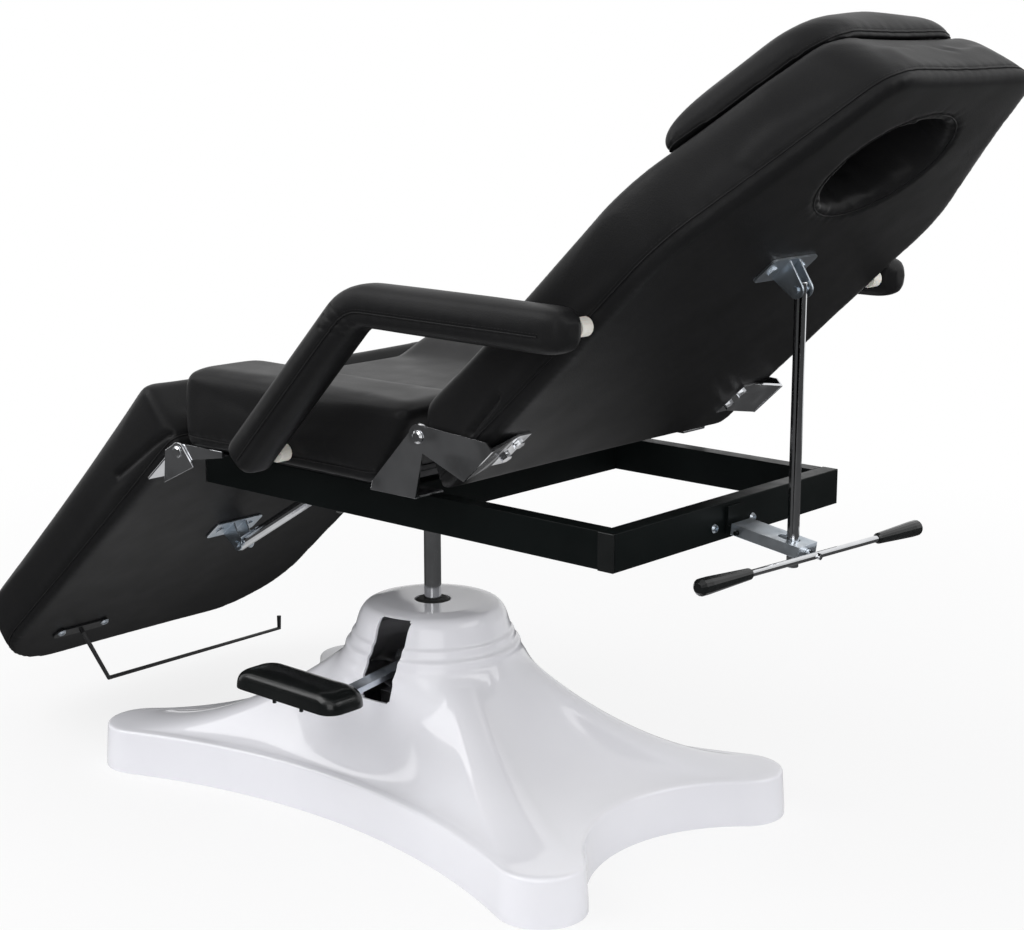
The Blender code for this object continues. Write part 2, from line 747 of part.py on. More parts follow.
def build_base():
    shell = loft(cover_rings(), low_cap=False, top_cap=False)
    cover = piece("base_cover", shell, "white_plastic", smooth=50.0)
    wall = cover.modifiers.new("wall", "SOLIDIFY")
    wall.thickness = COVER_WALL
    wall.offset = -1.0
    slot = box((PEDAL_X - SLOT_HALF_WIDTH, -WAIST_Y, SLOT_BOTTOM),
               (PEDAL_X + SLOT_HALF_WIDTH, SLOT_INNER_Y, SLOT_TOP))
    cut(cover, helper("pedal_slot", slot))
    plate_outline = base_outline(COVER_WALL + 2.0 * TOUCH)
    piece("base_plate", extruded([plate_outline], "Z", 0.0, FLOOR_PLATE), "steel")

    foot = FLOOR_PLATE + TOUCH
    top = COVER_HEIGHT - SEAL_HEIGHT - TOUCH
    guide = ROD_RADIUS + RUN
    cylinder = (
        (guide, top), (CYLINDER_RADIUS, top), (CYLINDER_RADIUS, foot), (0.0, foot),
        (0.0, foot + CYLINDER_FLOOR), (CYLINDER_BORE, foot + CYLINDER_FLOOR),
        (CYLINDER_BORE, top - GLAND_LENGTH), (guide, top - GLAND_LENGTH))
    piece("pump_cylinder", turned(cylinder, closed=True), "steel")
    seal_low = top + TOUCH
    seal = (
        (guide, COVER_HEIGHT + SEAL_LIP), (SEAL_RADIUS - SEAL_CHAMFER, COVER_HEIGHT + SEAL_LIP),
        (SEAL_RADIUS, COVER_HEIGHT - SEAL_LIP / 2.0), (SEAL_RADIUS, seal_low), (guide, seal_low))
    piece("rod_seal", turned(seal, closed=True), "rubber")
    build_pump(foot)


def build_pump(foot):
    pump_inner = -CYLINDER_RADIUS - TOUCH
    block = box((PEDAL_X - PUMP_HALF_WIDTH, PUMP_OUTER_Y, foot),
                (PEDAL_X + PUMP_HALF_WIDTH, pump_inner, PUMP_TOP))
    body = piece("pump_block", block, "steel")
    ear_outer = PUMP_HALF_WIDTH
    ear_inner = ear_outer - EAR_THICK
    ear_half = LEVER_BOSS_RADIUS + EAR_MARGIN
    root = PUMP_TOP - EAR_ROOT
    outline = [(PEDAL_PIVOT_Y - ear_half, root), (PEDAL_PIVOT_Y + ear_half, root)]
    outline += arc((PEDAL_PIVOT_Y, PEDAL_PIVOT_Z), ear_half, 0.0, 180.0, 10)
    hole = circle((PEDAL_PIVOT_Y, PEDAL_PIVOT_Z), PEDAL_PIN_RADIUS + TOUCH)
    for name, side in SIDES.items():
        ear = extruded([outline, hole], "X", PEDAL_X + side * ear_inner, PEDAL_X + side * ear_outer)
        join(body, helper("pump_ear_" + name, ear))
    bore = rod((PEDAL_X, PLUNGER_Y, PUMP_TOP - PLUNGER_LENGTH),
               (PEDAL_X, PLUNGER_Y, PUMP_TOP + PLUNGER_RADIUS), PLUNGER_RADIUS + RUN)
    cut(body, helper("plunger_bore", bore))
    pin_end = PUMP_HALF_WIDTH + PIN_OVERHANG
    pivot = (PEDAL_PIVOT_Y, PEDAL_PIVOT_Z)
    pin = rod((PEDAL_X - pin_end, *pivot), (PEDAL_X + pin_end, *pivot), PEDAL_PIN_RADIUS)
    piece("pedal_pin", pin, "steel")
    build_pedal()


def lever_underside(y):
    """Height of the lever's lower face, from its pivot to its outer end."""
    share = (y - PEDAL_PIVOT_Y) / (LEVER_END_Y + LEVER_FLAT - PEDAL_PIVOT_Y)
    return PEDAL_PIVOT_Z + (LEVER_END_Z - PEDAL_PIVOT_Z) * share - LEVER_THICK / 2.0


def build_pedal():
    pivot = joint_empty("pedal_axis", (PEDAL_X, PEDAL_PIVOT_Y, PEDAL_PIVOT_Z))
    run = LEVER_END_Y - PEDAL_PIVOT_Y
    fall = LEVER_END_Z - PEDAL_PIVOT_Z
    half = LEVER_THICK / 2.0
    bend = run + LEVER_FLAT
    tip = run - LEVER_TIP
    bar = [(0.0, -half), (0.0, half), (bend, fall + half), (tip, fall + half)]
    bar += [(tip, fall - half), (bend, fall - half)]
    lever = piece("pedal_lever", extruded([bar], "X", -LEVER_HALF_WIDTH, LEVER_HALF_WIDTH), "zinc", pivot)
    boss = rod((-LEVER_HALF_WIDTH, 0.0, 0.0), (LEVER_HALF_WIDTH, 0.0, 0.0), LEVER_BOSS_RADIUS)
    join(lever, helper("lever_boss", boss, pivot))
    bore = rod((-HOLE_REACH, 0.0, 0.0), (HOLE_REACH, 0.0, 0.0), PEDAL_PIN_RADIUS + RUN)
    cut(lever, helper("lever_bore", bore, pivot))

    plunger_top = lever_underside(PLUNGER_Y - PLUNGER_RADIUS) - 3.0 * TOUCH
    stop = PUMP_TOP - PLUNGER_LENGTH + PLUNGER_STROKE
    plunger = rod((PEDAL_X, PLUNGER_Y, stop), (PEDAL_X, PLUNGER_Y, plunger_top), PLUNGER_RADIUS)
    piece("pump_plunger", plunger, "steel")

    build_pedal_pad(pivot, run, fall + half)


def build_pedal_pad(pivot, middle_y, lever_top):
    """A moulded cap on the lever's end: open below, rounded above, with a rib and two studs inside."""
    corners = rectangle((-PAD_LENGTH / 2.0, -PAD_DEPTH / 2.0), (PAD_LENGTH / 2.0, PAD_DEPTH / 2.0))
    outline = rounded_outline(corners, [PAD_CORNER] * 4, 0.0, 5)
    rim = lever_top + TOUCH
    rings = []
    for length, depth, height in (
            (1.0, 1.0, 0.0), (0.995, 0.985, 0.36), (0.955, 0.93, 0.64), (0.87, 0.80, 0.85),
            (0.72, 0.54, 0.97), (0.40, 0.22, 1.0)):
        ring_z = rim + PAD_HEIGHT * height
        rings.append([(PAD_OFFSET + x * length, middle_y + y * depth, ring_z) for x, y in outline])
    pad = piece("pedal_pad", loft(rings, low_cap=False), "black_plastic", pivot, smooth=50.0)
    wall = pad.modifiers.new("wall", "SOLIDIFY")
    wall.thickness = PAD_WALL
    wall.offset = -1.0
    ceiling = rim + PAD_HEIGHT - PAD_WALL / 2.0
    rib = box((-LEVER_HALF_WIDTH, middle_y - PAD_RIB, rim), (LEVER_HALF_WIDTH, middle_y + PAD_RIB, ceiling))
    join(pad, helper("pad_rib", rib, pivot))
    for index, x in enumerate(STUD_X):
        place_y = middle_y - STUD_OUT
        stud_top = rim + PAD_HEIGHT - PAD_WALL
        stud = rod((x, place_y, rim - STUD_DROP), (x, place_y, stud_top), STUD_RADIUS, sides=8)
        join(pad, helper("pad_stud_%d" % index, stud, pivot))


def build_column():
    lift = joint_empty("lift_axis", (0.0, 0.0, 0.0))
    rod_top = FRAME_TOP - COLUMN_PLATE_SINK - COLUMN_PLATE - TOUCH
    piston = CYLINDER_BORE - RUN
    profile = (
        (0.0, rod_top), (ROD_RADIUS - ROD_CHAMFER, rod_top), (ROD_RADIUS, rod_top - ROD_CHAMFER),
        (ROD_RADIUS, PISTON_BOTTOM + PISTON_LENGTH), (piston, PISTON_BOTTOM + PISTON_LENGTH),
        (piston, PISTON_BOTTOM), (0.0, PISTON_BOTTOM))
    piece("piston_rod", turned(profile), "chrome", lift)


# Seat frame

def tube_section(low, high):
    inner_low = (low[0] + TUBE_WALL, low[1] + TUBE_WALL)
    inner_high = (high[0] - TUBE_WALL, high[1] - TUBE_WALL)
    return [rectangle(low, high), rectangle(inner_low, inner_high)]


def end_cap(along, start, outward, low, high):
    """A flange over a tube's end with a plug inside it."""
    plug_low = (low[0] + TUBE_WALL + TOUCH, low[1] + TUBE_WALL + TOUCH)
    plug_high = (high[0] - TUBE_WALL - TOUCH, high[1] - TUBE_WALL - TOUCH)
    face = start + outward * TOUCH
    rings = []
    for corners, offset in (
            ((low, high), face + outward * CAP_FLANGE), ((low, high), face),
            ((plug_low, plug_high), face), ((plug_low, plug_high), face - outward * CAP_PLUG)):
        outline = rectangle(*corners)
        if along == "X":
            rings.append([(offset, u, v) for u, v in outline])
        else:
            rings.append([(u, offset, v) for u, v in outline])
    return loft(rings)


def build_frame():
    swivel = joint_empty("swivel_axis", (0.0, 0.0, 0.0))
    low_z = FRAME_TOP - TUBE_HEIGHT
    inner = FRAME_HALF_WIDTH - TUBE_WIDTH
    rail_rear = FRAME_REAR - TUBE_WIDTH - TOUCH
    for name, side in SIDES.items():
        edges = sorted((side * inner, side * FRAME_HALF_WIDTH))
        low = (edges[0], low_z)
        high = (edges[1], FRAME_TOP)
        piece(name + "_rail", extruded(tube_section(low, high), "X", FRAME_FRONT, rail_rear),
              "frame_paint", swivel)
        piece("front_cap_" + name, end_cap("X", FRAME_FRONT, -1, low, high), "black_plastic", swivel)
        bar_low = (FRAME_REAR - TUBE_WIDTH, low_z)
        piece("rear_cap_" + name,
              end_cap("Y", side * FRAME_HALF_WIDTH, side, bar_low, (FRAME_REAR, FRAME_TOP)),
              "black_plastic", swivel)
    cross_half = inner - TOUCH
    bars = (
        ("rear_bar", FRAME_REAR - TUBE_WIDTH, FRAME_HALF_WIDTH),
        ("middle_bar", MIDDLE_BAR_REAR - TUBE_WIDTH, cross_half),
        ("front_bar", FRAME_FRONT, cross_half))
    for name, start, half in bars:
        section = tube_section((start, low_z), (start + TUBE_WIDTH, FRAME_TOP))
        piece(name, extruded(section, "Y", -half, half), "frame_paint", swivel)
    plate_top = FRAME_TOP - COLUMN_PLATE_SINK
    plate_low = plate_top - COLUMN_PLATE
    piece("column_plate", box((-COLUMN_PLATE_HALF_LENGTH, -cross_half, plate_low),
                              (COLUMN_PLATE_HALF_LENGTH, cross_half, plate_top)), "frame_paint", swivel)
    bore = ROD_RADIUS + RUN
    hub_top = plate_low - TOUCH
    hub_low = hub_top - HUB_LENGTH
    hub = ((bore, hub_top), (HUB_RADIUS, hub_top), (HUB_RADIUS, hub_low), (bore, hub_low))
    piece("swivel_hub", turned(hub, closed=True), "steel", swivel)
    build_seat(swivel)
    build_fixed_hinges(swivel)
    return swivel


def build_seat(swivel):
    corners = [(SEAT_FRONT, -PAD_HALF_WIDTH), (SEAT_REAR, -PAD_HALF_WIDTH),
               (SEAT_REAR, PAD_HALF_WIDTH), (SEAT_FRONT, PAD_HALF_WIDTH)]
    outline = rounded_outline(corners, [CORNER_RADIUS] * 4, SIDE_DRAW)

    def lean(x, height):
        share = min(1.0, max(0.0, (x - SEAT_REAR + 2.4 * SEAT_REAR_LEAN) / (2.4 * SEAT_REAR_LEAN)))
        return -SEAT_REAR_LEAN * max(0.0, 1.0 - height / SEAT_THICK) * share

    def swell(x, y):
        share = min(1.0, max(0.0, (SEAT_DISH_OUTER - abs(y)) / (SEAT_DISH_OUTER - SEAT_DISH_INNER)))
        return 1.0 - SEAT_DISH / SEAT_THICK * share * share * (3.0 - 2.0 * share)

    board, cushion = panel("seat", outline, SEAT_UNDERSIDE, SEAT_THICK, 0.0, swivel, lean, swell)
    inner = FRAME_HALF_WIDTH - (TUBE_WIDTH + BATTEN_WIDTH) / 2.0
    for name, side in SIDES.items():
        low_y, high_y = sorted((side * inner, side * (inner + BATTEN_WIDTH)))
        batten = box((SEAT_FRONT + BATTEN_SETBACK, low_y, FRAME_TOP + TOUCH),
                     (MIDDLE_BAR_REAR - TUBE_WIDTH, high_y, SEAT_UNDERSIDE + BOARD_THICK / 3.0))
        join(board, helper("seat_batten_" + name, batten, swivel))
        build_arm_bolt("arm_front_bolt_" + name, side, (ARM_PIVOT_X, ARM_PIVOT_Z), swivel, (board, cushion))


def build_arm_bolt(name, side, centre, parent, panel_pieces):
    """A bolt with a spacer collar, screwed into the edge of a panel's board."""
    board_edge = PAD_HALF_WIDTH - BOARD_INSET
    inner = board_edge - ARM_BOLT_DEPTH
    arm_face = ARM_CENTRE_Y - ARM_WIDTH / 2.0
    end = ARM_CENTRE_Y + ARM_TUBE_RADIUS + ARM_BOLT_END
    spacer_in = PAD_HALF_WIDTH + TOUCH
    profile = (
        (0.0, end), (ARM_BOLT_RADIUS, end), (ARM_BOLT_RADIUS, arm_face - 2.0 * TOUCH),
        (ARM_SPACER_RADIUS, arm_face - 2.0 * TOUCH), (ARM_SPACER_RADIUS, spacer_in),
        (ARM_BOLT_RADIUS, spacer_in), (ARM_BOLT_RADIUS, inner), (0.0, inner))
    turn = Matrix.Rotation(radians(-90.0 * side), 4, "X")
    mesh = moved(turned(profile, steps=SMALL_ROUND), turn)
    piece(name, mesh, "nylon", parent, (centre[0], 0.0, centre[1]))
    hole = rod((centre[0], side * (inner - TOUCH), centre[1]),
               (centre[0], side * (PAD_HALF_WIDTH + ARM_HOLE_OUT), centre[1]), ARM_BOLT_RADIUS + TOUCH)
    for index, target in enumerate(panel_pieces):
        cut(target, helper("%s_hole_%d" % (name, index), hole, parent))


def hinge_plate(outline, side, inner_y):
    return extruded([outline], "Y", side * inner_y, side * (inner_y + SHEET))


def rivet(centre, side):
    """A hinge pin fixed in the inner plate, with a head outside the moving plate."""
    start = PLATE_Y + SHEET / 2.0
    neck = PLATE_Y + 2.0 * SHEET + 2.0 * PLATE_GAP
    rim = HINGE_PIN_RADIUS + RIVET_RIM
    profile = (
        (0.0, neck + SHEET), (HINGE_PIN_RADIUS, neck + SHEET), (rim, neck + RIVET_EDGE), (rim, neck),
        (HINGE_PIN_RADIUS, neck), (HINGE_PIN_RADIUS, start), (0.0, start))
    turn = Matrix.Translation((centre[0], 0.0, centre[1])) @ Matrix.Rotation(radians(-90.0 * side), 4, "X")
    return moved(turned(profile, steps=SMALL_ROUND), turn)


def build_fixed_hinges(swivel):
    """Brackets under the seat board that carry the backrest's and the leg rest's hinge pins."""
    flange_top = SEAT_UNDERSIDE - TOUCH
    flange_low = flange_top - SHEET
    back = (BACK_HINGE_X, BACK_HINGE_Z)
    leg = (LEG_HINGE_X, LEG_HINGE_Z)
    back_start = back[0] - BACK_BRACKET_LENGTH
    back_end = back[0] - BACK_BRACKET_LIP
    leg_end = leg[0] + LEG_BRACKET_LENGTH
    back_plate = [(back_start, flange_low), (back_end, flange_low)]
    back_plate += arc(back, EYE_RADIUS, -70.0, 150.0, 12)
    back_plate += [(back[0] - BACK_BRACKET_FRONT, flange_top + BACK_BRACKET_LIP)]
    leg_plate = arc(leg, LEG_EYE_RADIUS, 120.0, 290.0, 10)
    leg_plate += [(leg_end, flange_low), (leg_end, flange_top + LEG_BRACKET_LIP)]
    for name, side in SIDES.items():
        flange_y = sorted((side * FLANGE_INNER_Y, side * (PLATE_Y + SHEET)))
        for kind, outline, pin, start, end in (
                ("back", back_plate, back, back_start, back_end),
                ("leg", leg_plate, leg, leg[0] + LEG_FLANGE_START, leg_end)):
            label = "%s_hinge_bracket_%s" % (kind, name)
            bracket = piece(label, hinge_plate(outline, side, PLATE_Y), "chrome", swivel)
            flange = box((start, flange_y[0], flange_low), (end, flange_y[1], flange_top))
            join(bracket, helper(label + "_flange", flange, swivel))
            join(bracket, helper(label + "_pin", rivet(pin, side), swivel))


# Backrest and leg rest

def build_backrest():
    hinge = joint_empty("backrest_axis", (BACK_HINGE_X, 0.0, BACK_HINGE_Z), -BACK_ANGLE)
    head = BACK_HEAD_HALF_WIDTH
    half = PAD_HALF_WIDTH
    corners = [(BACK_FOOT, -half), (BACK_SHOULDER, -half), (BACK_HEAD, -head),
               (BACK_HEAD, head), (BACK_SHOULDER, half), (BACK_FOOT, half)]
    radii = [CORNER_RADIUS, BACK_SHOULDER_RADIUS, BACK_HEAD_RADIUS]
    radii += radii[::-1]
    outline = rounded_outline(corners, radii, SIDE_DRAW)

    def lean(s, height):
        foot = min(1.0, max(0.0, 1.0 - (s - BACK_FOOT) / (2.4 * BACK_FOOT_LEAN)))
        head = min(1.0, max(0.0, 1.0 - (BACK_HEAD - s) / (3.0 * BACK_HEAD_LEAN)))
        return (BACK_FOOT_LEAN * foot - BACK_HEAD_LEAN * head) * min(1.0, height / BACK_THICK)

    hole = oval(FACE_HOLE_S, FACE_HOLE_LENGTH, FACE_HOLE_WIDTH)
    pieces = panel("backrest", outline, BACK_UNDERSIDE, BACK_THICK, CROWN, hinge, lean, hole=hole)
    turn = radians(BACK_ANGLE)
    rear_x = ARM_REAR_X - BACK_HINGE_X
    rear_z = ARM_REAR_Z - BACK_HINGE_Z
    bolt = (rear_x * cos(turn) + rear_z * sin(turn), rear_z * cos(turn) - rear_x * sin(turn))
    for name, side in SIDES.items():
        build_arm_bolt("arm_rear_bolt_" + name, side, bolt, hinge, pieces)
        build_back_hinge_arm("back_hinge_arm_" + name, side, hinge)
    build_clevis("back_clevis", hinge, BACK_CLEVIS_S, BACK_UNDERSIDE, BACK_CLEVIS_DROP, STRUT_RADIUS)
    build_pillow(hinge)


def bolt_head(s, y, top):
    """A six-sided head under a sheet whose upper face is at a height."""
    return rod((s, y, top - SHEET - BOLT_HEAD), (s, y, top - SHEET / 2.0), BOLT_HEAD_RADIUS, sides=6)


def build_back_hinge_arm(name, side, hinge):
    """A folded arm: an eye on the pin, a web that dips under the panel, a bolted flange."""
    outer = PLATE_Y + SHEET + PLATE_GAP
    dip = BACK_UNDERSIDE - ARM_DROP
    near_s = BACK_ARM_START
    far_s = BACK_ARM_END
    outline = arc((0.0, 0.0), EYE_RADIUS, 30.0, 215.0, 12)
    outline += [(near_s, dip), (far_s, dip), (far_s, BACK_UNDERSIDE - BACK_ARM_EDGE)]
    hole = circle((0.0, 0.0), HINGE_PIN_RADIUS + RUN)
    plate = extruded([outline, hole], "Y", side * outer, side * (outer + SHEET))
    arm = piece(name, plate, "chrome", hinge)
    top = BACK_UNDERSIDE - TOUCH
    fold = [(outer + SHEET, dip), (outer + SHEET, dip + 1.4 * SHEET), (ARM_BEND_Y, top), (ARM_FLANGE_Y, top),
            (ARM_FLANGE_Y, top - SHEET), (ARM_BEND_Y, top - SHEET)]
    strip = extruded([[(side * y, n) for y, n in fold]], "X", near_s, far_s)
    join(arm, helper(name + "_fold", strip, hinge))
    bolt_y = side * (ARM_BEND_Y + ARM_FLANGE_Y) / 2.0
    for index, s in enumerate((near_s + BACK_ARM_BOLT_INSET, far_s - BACK_ARM_BOLT_INSET)):
        join(arm, helper("%s_bolt_%d" % (name, index), bolt_head(s, bolt_y, top), hinge))


def build_clevis(name, parent, along, underside, drop, strut_radius):
    """A plate screwed under a panel, with two ears and a pin that carries a strut."""
    top = underside - TOUCH
    inner = strut_radius + CLEVIS_PLAY
    pin_height = underside - drop
    start = along - CLEVIS_LENGTH / 2.0
    end = along + CLEVIS_LENGTH / 2.0
    corners = rectangle((start, -CLEVIS_HALF_WIDTH), (end, CLEVIS_HALF_WIDTH))
    outline = rounded_outline(corners, [CLEVIS_CORNER] * 4, 0.0, 3)
    plate = extruded([outline], "Z", top - SHEET, top)
    clevis = piece(name, plate, "zinc", parent)
    tip = CLEVIS_PIN_RADIUS + CLEVIS_EAR_RIM
    ear = [(end - CLEVIS_EAR_INSET, top - SHEET / 2.0), (start + CLEVIS_EAR_INSET, top - SHEET / 2.0)]
    ear += arc((along, pin_height), tip, 190.0, 350.0, 10)
    for label, side in SIDES.items():
        sheet = extruded([ear], "Y", side * inner, side * (inner + SHEET))
        join(clevis, helper("%s_ear_%s" % (name, label), sheet, parent))
        screw_y = side * (CLEVIS_HALF_WIDTH + inner + SHEET) / 2.0
        head = rod((along, screw_y, top - SHEET - BOLT_HEAD / 2.0), (along, screw_y, top - SHEET / 2.0),
                   BOLT_HEAD_RADIUS, sides=8)
        join(clevis, helper("%s_screw_%s" % (name, label), head, parent))
    pin_end = inner + SHEET + PIN_OVERHANG
    pin = rod((along, -pin_end, pin_height), (along, pin_end, pin_height), CLEVIS_PIN_RADIUS)
    join(clevis, helper(name + "_pin", pin, parent))


def build_pillow(hinge):
    lift_off = joint_empty("pillow_axis", (0.0, 0.0, 0.0))
    lift_off.parent = hinge
    corners = [(PILLOW_LOW, -PILLOW_LOW_HALF_WIDTH), (PILLOW_HIGH, -PILLOW_HIGH_HALF_WIDTH),
               (PILLOW_HIGH, PILLOW_HIGH_HALF_WIDTH), (PILLOW_LOW, PILLOW_LOW_HALF_WIDTH)]
    radii = [PILLOW_LOW_RADIUS, PILLOW_HIGH_RADIUS, PILLOW_HIGH_RADIUS, PILLOW_LOW_RADIUS]
    outline = rounded_outline(corners, radii, SIDE_DRAW / 2.0)
    underside = BACK_UNDERSIDE + BACK_THICK + CROWN + TOUCH
    piece("head_pillow", cushion_mesh(outline, underside, PILLOW_THICK, PILLOW_CROWN), "vinyl", lift_off)


def build_legrest():
    hinge = joint_empty("legrest_axis", (LEG_HINGE_X, 0.0, LEG_HINGE_Z), -LEG_ANGLE)
    half = PAD_HALF_WIDTH
    corners = [(-LEG_FOOT, -half), (-LEG_KNEE, -half), (-LEG_KNEE, half), (-LEG_FOOT, half)]
    radii = [LEG_FOOT_CORNER, CORNER_RADIUS, CORNER_RADIUS, LEG_FOOT_CORNER]
    outline = rounded_outline(corners, radii, SIDE_DRAW)

    def swell(x, y):
        foot = min(1.0, max(0.0, (-x - LEG_KNEE) / (LEG_FOOT - LEG_KNEE)))
        return 1.0 + (LEG_FOOT_THICK / LEG_KNEE_THICK - 1.0) * foot

    panel("legrest", outline, LEG_UNDERSIDE, LEG_KNEE_THICK, CROWN / 2.0, hinge, swell=swell)
    for name, side in SIDES.items():
        build_leg_hinge_arm("leg_hinge_arm_" + name, side, hinge)
    build_clevis("leg_clevis", hinge, -LEG_CLEVIS_S, LEG_UNDERSIDE, LEG_CLEVIS_DROP, LEG_STRUT_RADIUS)
    build_roll_holder(hinge)


def build_leg_hinge_arm(name, side, hinge):
    outer = PLATE_Y + SHEET + PLATE_GAP
    top = LEG_UNDERSIDE - TOUCH
    outline = [(LEG_ARM_TOE, -LEG_ARM_HEEL), *arc((0.0, 0.0), LEG_EYE_RADIUS, -10.0, 100.0, 8)]
    outline += [(-LEG_ARM_SHOULDER, LEG_ARM_START), (-LEG_ARM_KNEE, -LEG_ARM_STEP)]
    hole = circle((0.0, 0.0), HINGE_PIN_RADIUS + RUN)
    arm = piece(name, extruded([outline, hole], "Y", side * outer, side * (outer + SHEET)), "chrome", hinge)
    edges = sorted((side * FLANGE_INNER_Y, side * (outer + SHEET)))
    flange = box((-LEG_ARM_END, edges[0], top - SHEET), (-LEG_ARM_START, edges[1], top))
    join(arm, helper(name + "_flange", flange, hinge))
    bolt_y = side * (FLANGE_INNER_Y + LEG_ARM_BOLT_IN)
    for index, s in enumerate((LEG_ARM_BOLT_INSET - LEG_ARM_END, -LEG_ARM_HEEL)):
        join(arm, helper("%s_bolt_%d" % (name, index), bolt_head(s, bolt_y, top), hinge))


def build_roll_holder(hinge):
    """A screwed plate and a bent wire that carries a paper roll."""
    top = LEG_UNDERSIDE - TOUCH
    reach = HOLDER_HALF_LENGTH - HOLDER_HALF_WIDTH
    outline = stadium((-HOLDER_S, HOLDER_Y), HOLDER_HALF_WIDTH, reach, reach, 90.0, 6)
    plate = extruded([outline], "Z", top - SHEET, top)
    holder = piece("roll_holder", plate, "wire", hinge)
    wire_height = LEG_UNDERSIDE - WIRE_DROP
    points = [(-HOLDER_S, HOLDER_Y, top - SHEET / 2.0), (-HOLDER_S, HOLDER_Y, top - 3.0 * SHEET),
              (-WIRE_S, WIRE_NEAR_Y, wire_height), (-WIRE_S, WIRE_FAR_Y, wire_height),
              (-WIRE_S + 0.6 * WIRE_TIP, WIRE_FAR_Y + WIRE_FLARE, wire_height + 0.8 * WIRE_TIP)]
    join(holder, helper("roll_wire", swept(points, WIRE_RADIUS), hinge))


# Armrests

def arm_path(start, end, bend_steps=4):
    """A line in the XZ plane from a start over the armrest's elbow to an end."""
    start = Vector(start)
    elbow = Vector((ARM_ELBOW_X, ARM_ELBOW_Z))
    end = Vector(end)
    post = (elbow - start).normalized()
    rest = (end - elbow).normalized()
    half = (pi - post.angle(rest)) / 2.0
    reach = ARM_ELBOW_RADIUS * cos(half) / sin(half)
    centre = elbow + (rest - post).normalized() * ARM_ELBOW_RADIUS / sin(half)
    first = elbow - post * reach - centre
    begin = degrees(atan2(first.y, first.x))
    sweep = -degrees(post.angle(rest))
    bend = [Vector(point) for point in arc(centre, ARM_ELBOW_RADIUS, begin, begin + sweep, bend_steps)]
    return [start, *bend, end]


def tube_path(extra):
    """The armrest tube's line, from below the front bolt to behind the rear bolt."""
    foot = Vector((ARM_PIVOT_X, ARM_PIVOT_Z))
    way = (Vector((ARM_ELBOW_X, ARM_ELBOW_Z)) - foot).normalized()
    return arm_path(foot - way * (ARM_TUBE_FOOT + extra), (ARM_REAR_X + ARM_TUBE_REAR + extra, ARM_REAR_Z))


def rounded_section(width, height, sides=12):
    """A squared oval, as (across, up) points."""
    points = []
    for step in range(sides):
        angle = 2.0 * pi * (step + 0.5) / sides
        stretch = (abs(cos(angle)) ** 3.2 + abs(sin(angle)) ** 3.2) ** (-1.0 / 3.2)
        points.append((width / 2.0 * cos(angle) * stretch, height / 2.0 * sin(angle) * stretch))
    return points


def arm_rings(side):
    """Sections along the armrest, rounded off at both ends."""
    path = arm_path((ARM_FOOT_X, ARM_FOOT_Z), (ARM_END_X, ARM_REAR_Z))
    foot_way = (path[1] - path[0]).normalized()
    rear_way = (path[-1] - path[-2]).normalized()
    stations = [(path[0], 0.78, foot_way), (path[0] + foot_way * ARM_END_EDGE, 0.94, foot_way),
                (path[0] + foot_way * ARM_FOOT_ROUND, 1.0, foot_way)]
    for before, here, after in zip(path, path[1:], path[2:]):
        way = ((here - before).normalized() + (after - here).normalized()).normalized()
        stations.append((here, 1.0, way))
    for gap, size in ((ARM_REAR_ROUND, 1.0), (ARM_REAR_EDGE, 0.93), (ARM_END_EDGE, 0.78), (0.0, 0.58)):
        stations.append((path[-1] - rear_way * gap, size, rear_way))
    rings = []
    for centre, size, way in stations:
        up = Vector((-way.y, way.x))
        ring = []
        for across, height in rounded_section(ARM_WIDTH, ARM_HEIGHT):
            ring.append((centre.x + up.x * height * size, side * ARM_CENTRE_Y + across * size,
                         centre.y + up.y * height * size))
        rings.append(ring)
    return rings


def build_armrests(swivel):
    slip_angle = degrees(atan2(ARM_REAR_Z - ARM_PIVOT_Z, ARM_REAR_X - ARM_PIVOT_X))
    face = ARM_CENTRE_Y - ARM_WIDTH / 2.0 - ARM_HOLE_FREE
    deep = ARM_CENTRE_Y + ARM_TUBE_RADIUS + ARM_HOLE_END
    to_pivot = Matrix.Translation((-ARM_PIVOT_X, 0.0, -ARM_PIVOT_Z))
    for name, side in SIDES.items():
        axis = joint_empty("armrest_axis_" + name, (ARM_PIVOT_X, 0.0, ARM_PIVOT_Z))
        axis.parent = swivel
        pad = piece("armrest_pad_" + name, moved(loft(arm_rings(side)), to_pivot), "vinyl", axis, smooth=50.0)
        spine = [(p.x, side * ARM_CENTRE_Y, p.y) for p in tube_path(0.0)]
        tube = piece("armrest_tube_" + name, moved(swept(spine, ARM_TUBE_RADIUS), to_pivot), "steel", axis)
        channel = [(p.x, side * ARM_CENTRE_Y, p.y) for p in tube_path(TOUCH)]
        channel_mesh = moved(swept(channel, ARM_TUBE_RADIUS + TOUCH), to_pivot)
        cut(pad, helper("armrest_channel_" + name, channel_mesh, axis))
        pivot_hole = rod((0.0, side * face, 0.0), (0.0, side * deep, 0.0), ARM_BOLT_RADIUS + RUN)
        outline = stadium((ARM_REAR_X, ARM_REAR_Z), ARM_BOLT_RADIUS + RUN, ARM_SLIP_BACK, ARM_SLIP_FORWARD,
                          slip_angle)
        slot = extruded([outline], "Y", side * face, side * deep)
        slot_mesh = moved(slot, to_pivot)
        for target in (pad, tube):
            cut(target, helper(target.name + "_pivot_hole", pivot_hole, axis),
                helper(target.name + "_slot", slot_mesh, axis))


# Struts and clamps

def build_strut(name, parent_axis, radius, length):
    """A round strut that hangs from its clevis pin along its own -Z."""
    top = CLEVIS_PIN_RADIUS + STRUT_END
    strut = piece(name, rod((0.0, 0.0, -length), (0.0, 0.0, top), radius), "chrome", parent_axis)
    hole = rod((0.0, -HOLE_REACH, 0.0), (0.0, HOLE_REACH, 0.0), CLEVIS_PIN_RADIUS + RUN)
    cut(strut, helper(name + "_pin_hole", hole, parent_axis))


